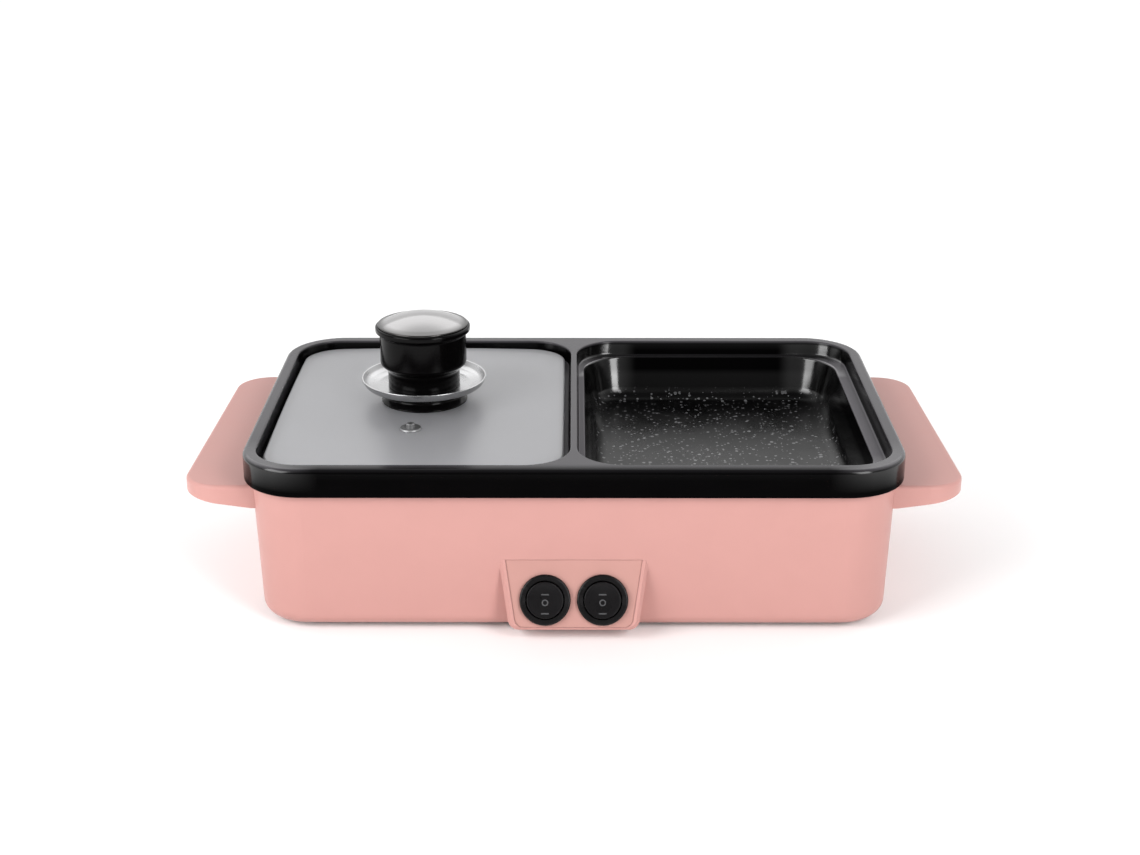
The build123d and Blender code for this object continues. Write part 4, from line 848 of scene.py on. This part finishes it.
# The tray's coat
COAT_BLACK = (0.0008, 0.0007, 0.0008)
SPECK_GREY = (0.10, 0.10, 0.104, 1)
# Painted sheen: the grey laid on the ledges where they face up to the light
LEDGE_PAINTED_SHEEN_GREY = (0.105, 0.10, 0.108, 1)
# Painted highlight: the grey laid on the lip's top where it catches light
LIP_PAINTED_SHEEN_GREY = (0.052, 0.049, 0.054, 1)
# Share of the ledges' painted sheen left at their back
BACK_PAINTED_SHEEN_SHARE = 0.1
# Share of the lip's painted highlight left along the middle of the front
FRONT_PAINTED_SHEEN_SHARE = 0.12
FLOOR_ROUGHNESS = 0.12

# Each layer of specks: cells to the metre, size of the spots in cells, and how far it is moved
SPECK_LAYERS = ((640.0, 0.36, 0.0), (400.0, 0.27, 3.7))
SPECK_GAIN = 2.0
SPECK_CUT = 0.35

# How much light the coat throws back, and what each place adds to it
SKIRT_SPECULAR = 0.015
WALL_SPECULAR = 0.22
SPECK_SPECULAR = 0.6
LIP_SPECULAR = 0.15
BEND_SPECULAR = 0.25
POLISH_SPECULAR = 0.6

# Where an effect starts and where it is full. First up from the grill's floor, in millimetres
SPECK_SPAN = (7.0, 0.6)
POLISH_LOW_SPAN = (3.0, 6.0)
# Up from the lip
# Where the lip's painted highlight fades in below the lip's top
LIP_PAINTED_SHEEN_SPAN = (-1.5, -0.05)
LIP_GLOSS_SPAN = (-5.0, -2.0)
BEND_GLOSS_SPAN = (-11.0, -5.0)
POLISH_HIGH_SPAN = (-1.2, -2.2)
# Up from the skirt's hem
SKIRT_SPAN = (0.0, -3.0)
# Away from the ledge's height, and how far the surface faces up, for the ledges' painted sheen
LEDGE_SPAN = (0.9, 0.2)
UPWARD_SPAN = (0.5, 0.9)
# Along y from the rim's front and from its back
FRONT_SPAN = (2.6, 8.0)
LEDGE_BACK_SPAN = (-14.0, -24.0)
# In radii of the tray's corners, from the rim's sides and from its front
SIDE_CORNER_SPAN = (-1.3, -0.6)
FRONT_CORNER_SPAN = (1.3, 0.7)
# In radii of the grill's corners, from its sides and from its back
POLISH_SIDE_SPAN = (-1.3, -0.9)
POLISH_BACK_SPAN = (-1.5, -1.1)
POLISH_MARGIN = 4.6


def from_line(line, span, unit=1.0):
    """The two ends of a fade, each given as a step away from one line of the tray."""
    return [line + step * unit for step in span]


def speck_pattern(recipe):
    """Round spots in two layers of random cells.

    Two random numbers of a cell, multiplied, give the reach of its spot. It comes out below
    zero in about half of the cells, and these stay bare."""
    specks = 0.0
    for scale, size, shift in SPECK_LAYERS:
        place = recipe.mapped(shift=(shift, shift * 2, shift))
        cells = recipe.node("TexVoronoi", {"Vector": place, "Scale": scale})
        chance = recipe.node("SeparateColor", {"Color": cells.outputs["Color"]})
        share = recipe.math("MULTIPLY", chance.outputs["Red"], chance.outputs["Green"])
        reach = recipe.math("MULTIPLY_ADD", share, size * SPECK_GAIN, -size * SPECK_CUT)
        inside = recipe.math("LESS_THAN", cells.outputs["Distance"], reach)
        specks = recipe.math("MAXIMUM", specks, inside)
    return specks


def ledge_painted_sheen(recipe, y, z):
    """Where the ledges get a painted sheen: grey at their height where they face up and catch light, and
    less at the back.
    """
    off_ledge = recipe.math("ABSOLUTE", recipe.math("SUBTRACT", z, ledge_z))
    at_ledge = recipe.fade(off_ledge, *LEDGE_SPAN)
    forward = recipe.fade(y, *from_line(rim.back, LEDGE_BACK_SPAN), low=BACK_PAINTED_SHEEN_SHARE)
    upward = recipe.axes(recipe.node("NewGeometry").outputs["Normal"])[2]
    return recipe.overlap(at_ledge, forward, recipe.fade(upward, *UPWARD_SPAN))


def corner_polish(recipe, x, y, z):
    """The glossy back corners of the grill's wall. The skirt right behind them shares it."""
    off_middle = recipe.math("ABSOLUTE", recipe.math("SUBTRACT", x, grill.x))
    half_width = (grill.deep.right - grill.deep.left) / 2
    sides = from_line(half_width, POLISH_SIDE_SPAN, DEEP_CORNER)
    back = from_line(grill.deep.back, POLISH_BACK_SPAN, DEEP_CORNER)
    return recipe.overlap(
        recipe.fade(z, *from_line(grill.floor, POLISH_LOW_SPAN), soft=True),
        recipe.fade(off_middle, *sides, soft=True),
        recipe.fade(y, *back),
        recipe.fade(z, *from_line(lip_z, POLISH_HIGH_SPAN)),
        recipe.math("LESS_THAN", off_middle, half_width + POLISH_MARGIN))


def tray_finish():
    """Black release coat: dull on the skirt, a painted grey sheen on lip and ledges, flecked on the
    floors.
    """
    material = finish("tray_coating", COAT_BLACK, roughness=0.17, tone=0.2, grain=500.0,
                      relief=0.03, spread=0.05)
    recipe = Recipe(material.node_tree)
    x, y, z = recipe.rim_axes()
    near_floor = recipe.fade(z, *from_line(grill.floor, SPECK_SPAN), soft=True)
    specks = recipe.overlap(speck_pattern(recipe), near_floor)
    # Along the middle of the front the lip gets neither its painted highlight nor its extra gloss
    off_front = recipe.fade(y, *from_line(rim.front, FRONT_SPAN), low=FRONT_PAINTED_SHEEN_SHARE)
    off_middle = recipe.math("ABSOLUTE", x)
    at_side = recipe.fade(off_middle, *from_line(rim.right, SIDE_CORNER_SPAN, TRAY_CORNER))
    clear = recipe.math("MAXIMUM", off_front, at_side)

    # Painted highlight: grey on the lip's top and its rounded edge, where these catch light
    lip_painted_sheen_mask = recipe.fade(z, *from_line(lip_z, LIP_PAINTED_SHEEN_SPAN), soft=True)
    colour = recipe.blend(specks, recipe.given("Base Color"), SPECK_GREY)
    # Painted sheen on the ledges
    colour = recipe.blend(ledge_painted_sheen(recipe, y, z), colour, LEDGE_PAINTED_SHEEN_GREY)
    colour = recipe.blend(recipe.overlap(lip_painted_sheen_mask, clear), colour, LIP_PAINTED_SHEEN_GREY)
    recipe.give("Base Color", colour)

    level = recipe.fade(z, *from_line(lip_z - RIM_HEIGHT, SKIRT_SPAN), SKIRT_SPECULAR, WALL_SPECULAR)
    lip_gloss = recipe.overlap(recipe.fade(z, *from_line(lip_z, LIP_GLOSS_SPAN)), clear)
    at_bend = recipe.fade(z, *from_line(lip_z, BEND_GLOSS_SPAN))
    at_front = recipe.fade(y, *from_line(rim.front, FRONT_CORNER_SPAN, TRAY_CORNER))
    bend_gloss = recipe.overlap(at_bend, at_side, at_front)
    polish = corner_polish(recipe, x, y, z)
    for mask, gain in ((specks, SPECK_SPECULAR), (lip_gloss, LIP_SPECULAR),
                       (bend_gloss, BEND_SPECULAR), (polish, POLISH_SPECULAR)):
        level = recipe.math("MULTIPLY_ADD", mask, gain, level)
    recipe.give("Specular IOR Level", level)

    rougher = recipe.math("MULTIPLY_ADD", near_floor, FLOOR_ROUGHNESS, recipe.given("Roughness"))
    recipe.give("Roughness", rougher)
    return material


CAP_GREY = (0.33, 0.325, 0.325)
# Painted shade: the dark grey laid over the cap's rolled edge
CAP_PAINTED_SHADE_GREY = (0.05, 0.048, 0.047, 1)
CAP_PAINTED_SHADE_SPAN = (-4.6, 0.0)


def cap_steel_with_painted_shade():
    """Satin steel with painted shade: darker towards its rolled edge, by the distance from the knob's
    axis.
    """
    material = finish("cap_steel", CAP_GREY, roughness=0.16, metallic=1.0, tone=0.03, grain=400,
                      relief=0.004, spread=0.03)
    recipe = Recipe(material.node_tree)
    x, y = recipe.rim_axes()[:2]
    across = recipe.math("SUBTRACT", x, knob_x)
    squares = recipe.math("MULTIPLY_ADD", y, y, recipe.math("MULTIPLY", across, across))
    # Painted shade towards the rolled edge
    edge = recipe.fade(recipe.math("SQRT", squares), *from_line(CAP_RADIUS, CAP_PAINTED_SHADE_SPAN), soft=True)
    recipe.give("Base Color", recipe.blend(edge, recipe.given("Base Color"), CAP_PAINTED_SHADE_GREY))
    return material


GLASS_GREY = (0.50, 0.50, 0.52)
GLASS_CLEARNESS = 0.62
GLASS_IOR = 1.5


def glass_finish():
    """Toughened glass with a soft grey veil: partly clear, partly scattering."""
    material = finish("lid_glass", GLASS_GREY, roughness=0.34, specular=0.6, tone=0.03,
                      grain=160.0, relief=0.004, spread=0.03)
    recipe = Recipe(material.node_tree)
    recipe.give("IOR", GLASS_IOR)
    recipe.give("Transmission Weight", GLASS_CLEARNESS)
    return material


PLAIN_FINISHES = {
    "housing_plastic": dict(colour=(0.472, 0.248, 0.224), roughness=0.34, specular=0.14,
                            tone=0.012, grain=700, relief=0.01, spread=0.04, wear=0.06),
    "panel_plastic": dict(colour=(0.435, 0.233, 0.205), roughness=0.4, specular=0.2,
                          tone=0.012, grain=800, relief=0.01),
    "switch_plastic": dict(colour=(0.004, 0.0035, 0.0038), roughness=0.26, specular=0.2,
                           tone=0.15, grain=900, wear=0.1),
    "rocker_plastic": dict(colour=(0.006, 0.0055, 0.006), roughness=0.3, specular=0.12,
                           tone=0.15, grain=900, wear=0.1),
    "mark_paint": dict(colour=(0.065, 0.065, 0.068), roughness=0.5, specular=0.2, tone=0.1, grain=900),
    "knob_black": dict(colour=(0.0014, 0.0012, 0.0013), roughness=0.14, specular=0.09,
                       tone=0.2, grain=500, relief=0.008, spread=0.04, wear=0.02),
    "trim_steel": dict(colour=(0.47, 0.47, 0.475), roughness=0.26, metallic=1.0, tone=0.04,
                       grain=700, relief=0.005, spread=0.05),
    "eyelet_steel": dict(colour=(0.24, 0.24, 0.243), roughness=0.5, metallic=1.0, tone=0.05,
                         grain=800, relief=0.01),
    "terminal_brass": dict(colour=(0.72, 0.50, 0.22), roughness=0.3, metallic=1.0, tone=0.1, wear=0.2),
    "element_steel": dict(colour=(0.34, 0.30, 0.27), roughness=0.42, metallic=1.0, tone=0.25, grain=300),
    "sheet_steel": dict(colour=(0.55, 0.56, 0.58), roughness=0.38, metallic=1.0, tone=0.12,
                        grain=200, stretch=(1, 12, 1), wear=0.2),
    "screw_steel": dict(colour=(0.60, 0.60, 0.60), roughness=0.3, metallic=1.0, tone=0.1,
                        grain=900, wear=0.3),
    "bead_ceramic": dict(colour=(0.78, 0.75, 0.68), roughness=0.55, tone=0.06, grain=900, relief=0.03),
    "thermostat_body": dict(colour=(0.42, 0.36, 0.26), roughness=0.5, tone=0.1, grain=600),
    "base_plastic": dict(colour=(0.016, 0.016, 0.017), roughness=0.5, tone=0.15, grain=900,
                         relief=0.05, wear=0.1),
    "foot_rubber": dict(colour=(0.02, 0.02, 0.021), roughness=0.72, specular=0.3, tone=0.2,
                        grain=700, relief=0.05),
    "inlet_plastic": dict(colour=(0.013, 0.013, 0.014), roughness=0.34, tone=0.15, grain=800, wear=0.1),
    "block_plastic": dict(colour=(0.70, 0.68, 0.62), roughness=0.45, tone=0.04, grain=700, wear=0.05),
    "lead_brown": dict(colour=(0.12, 0.05, 0.02), roughness=0.45, tone=0.12, grain=700),
    "lead_blue": dict(colour=(0.02, 0.09, 0.38), roughness=0.45, tone=0.12, grain=700),
    "lead_green": dict(colour=(0.16, 0.36, 0.04), roughness=0.45, tone=0.2, grain=700),
    "lead_white": dict(colour=(0.70, 0.69, 0.66), roughness=0.5, tone=0.06, grain=700, relief=0.05),
    "seal_rubber": dict(colour=(0.55, 0.12, 0.07), roughness=0.6, specular=0.3, tone=0.1, grain=700),
}
finishes = {name: finish(name, **values) for name, values in PLAIN_FINISHES.items()}
finishes["tray_coating"] = tray_finish()
finishes["lid_glass"] = glass_finish()
finishes["cap_steel"] = cap_steel_with_painted_shade()


def place(thing, body, slot, *nodes, material=None):
    """Gives a new piece its finish and its body, and lets it stand for the frame's nodes."""
    thing.data.materials.clear()
    thing.data.materials.append(material or finishes[slot])
    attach(thing, body)
    if nodes:
        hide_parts(*nodes)


place(make_tray(), "base_unit", "tray_coating", "tray")
place(make_glass(), "lid", "lid_glass", "lid_glass")
place(make_knob_base(), "lid", "knob_black", "knob_base")
place(make_guard(), "lid", "trim_steel", "knob_guard")
place(make_grip(), "lid", "knob_black", "knob_body")
place(make_cap(), "lid", "cap_steel", "knob_cap")
for side in ("left", "right"):
    place(make_rocker(side), f"{side}_rocker", "rocker_plastic", f"rocker_{side}")
    place(make_marks(side), f"{side}_rocker", "rocker_plastic", material=finishes["mark_paint"])

for node in frame["nodes"].values():
    for slot in node.material_slots:
        slot.material = finishes[slot.material.name.split(".")[0]]
frame["nodes"]["vent_eyelet"].material_slots[0].material = finishes["eyelet_steel"]


# Floor, light and camera, in metres
FLOOR_REACH = 15.0
FLOOR_CELLS = 24
FLOOR_DROP = 0.0002
PAPER_WHITE = (0.93, 0.93, 0.93)
OBJECT_MIDDLE = (0, 0, 0.05)


def make_floor():
    """A wide level sheet of square cells, just below the feet."""
    lines = np.linspace(-FLOOR_REACH, FLOOR_REACH, FLOOR_CELLS + 1)
    x, y = np.meshgrid(lines, lines)
    z = np.full_like(x, -FLOOR_DROP)
    row = FLOOR_CELLS + 1
    here = np.arange(FLOOR_CELLS)[:, None] * row + np.arange(FLOOR_CELLS)[None, :]
    quads = np.stack([here, here + 1, here + row + 1, here + row], axis=-1).reshape(-1, 4)
    points = np.column_stack([x.ravel(), y.ravel(), z.ravel()])
    mesh = bpy.data.meshes.new("floor")
    mesh.from_pydata(points.tolist(), [], quads.tolist())
    floor = bpy.data.objects.new("floor", mesh)
    bpy.context.scene.collection.objects.link(floor)
    mesh.materials.append(finish("floor_paper", PAPER_WHITE, roughness=0.8, specular=0.1,
                                 tone=0.004, grain=30, relief=0.01))


def lamp(name, where, aim, size, power):
    """A soft rectangular lamp that faces a point."""
    light = bpy.data.lights.new(name, "AREA")
    light.shape = "RECTANGLE"
    light.size, light.size_y = size
    light.energy = power
    lamp_object = bpy.data.objects.new(name, light)
    lamp_object.location = where
    lamp_object.rotation_euler = (Vector(aim) - Vector(where)).to_track_quat("-Z", "Y").to_euler()
    bpy.context.scene.collection.objects.link(lamp_object)


# The white surroundings: how high a direction points dims them towards the top, and how far
# back it points brightens them from the front to the back
TOP_SPAN = (0.65, 0.94)
TOP_STRENGTHS = (1.0, 0.25)
BACK_SPAN = (-0.6, 0.3)
BACK_STRENGTHS = (0.35, 1.12)


def make_world():
    """Even white light from all round, dimmer overhead and in front."""
    world = bpy.data.worlds.new("studio")
    world.use_nodes = True
    bpy.context.scene.world = world
    recipe = Recipe(world.node_tree, "Background")
    y, z = recipe.axes(recipe.node("TexCoord").outputs["Generated"])[1:]
    overhead = recipe.fade(z, *TOP_SPAN, *TOP_STRENGTHS, soft=True)
    behind = recipe.fade(y, *BACK_SPAN, *BACK_STRENGTHS, soft=True)
    recipe.give("Strength", recipe.overlap(overhead, behind))
    recipe.give("Color", (1, 1, 1, 1))


# The camera, from the fit to the photograph
CAMERA_PLACE = (-0.0003, -0.8277, 0.380)
CAMERA_PITCH = 69.3
CAMERA_TURN = 0.112
LENS_LENGTH = 56.62
SENSOR_WIDTH = 36.0


def make_camera():
    """The camera at the photograph's viewing angle. Its lengths are in millimetres."""
    data = bpy.data.cameras.new("camera")
    data.lens = LENS_LENGTH
    data.sensor_width = SENSOR_WIDTH
    camera = bpy.data.objects.new("camera", data)
    camera.location = CAMERA_PLACE
    camera.rotation_euler = (radians(CAMERA_PITCH), 0, radians(CAMERA_TURN))
    bpy.context.scene.collection.objects.link(camera)
    bpy.context.scene.camera = camera


make_floor()
lamp("softbox_left", where=(-1.0, -0.75, 0.66), aim=OBJECT_MIDDLE, size=(0.85, 1.0), power=17.0)
lamp("softbox_right", where=(0.75, -1.0, 0.62), aim=OBJECT_MIDDLE, size=(0.5, 1.0), power=13.5)
lamp("far_floor", where=(0, 2.1, 1.8), aim=(0, 2.1, 0), size=(6.0, 3.0), power=50.0)
make_world()
make_camera()
bpy.context.scene.view_settings.view_transform = "Standard"
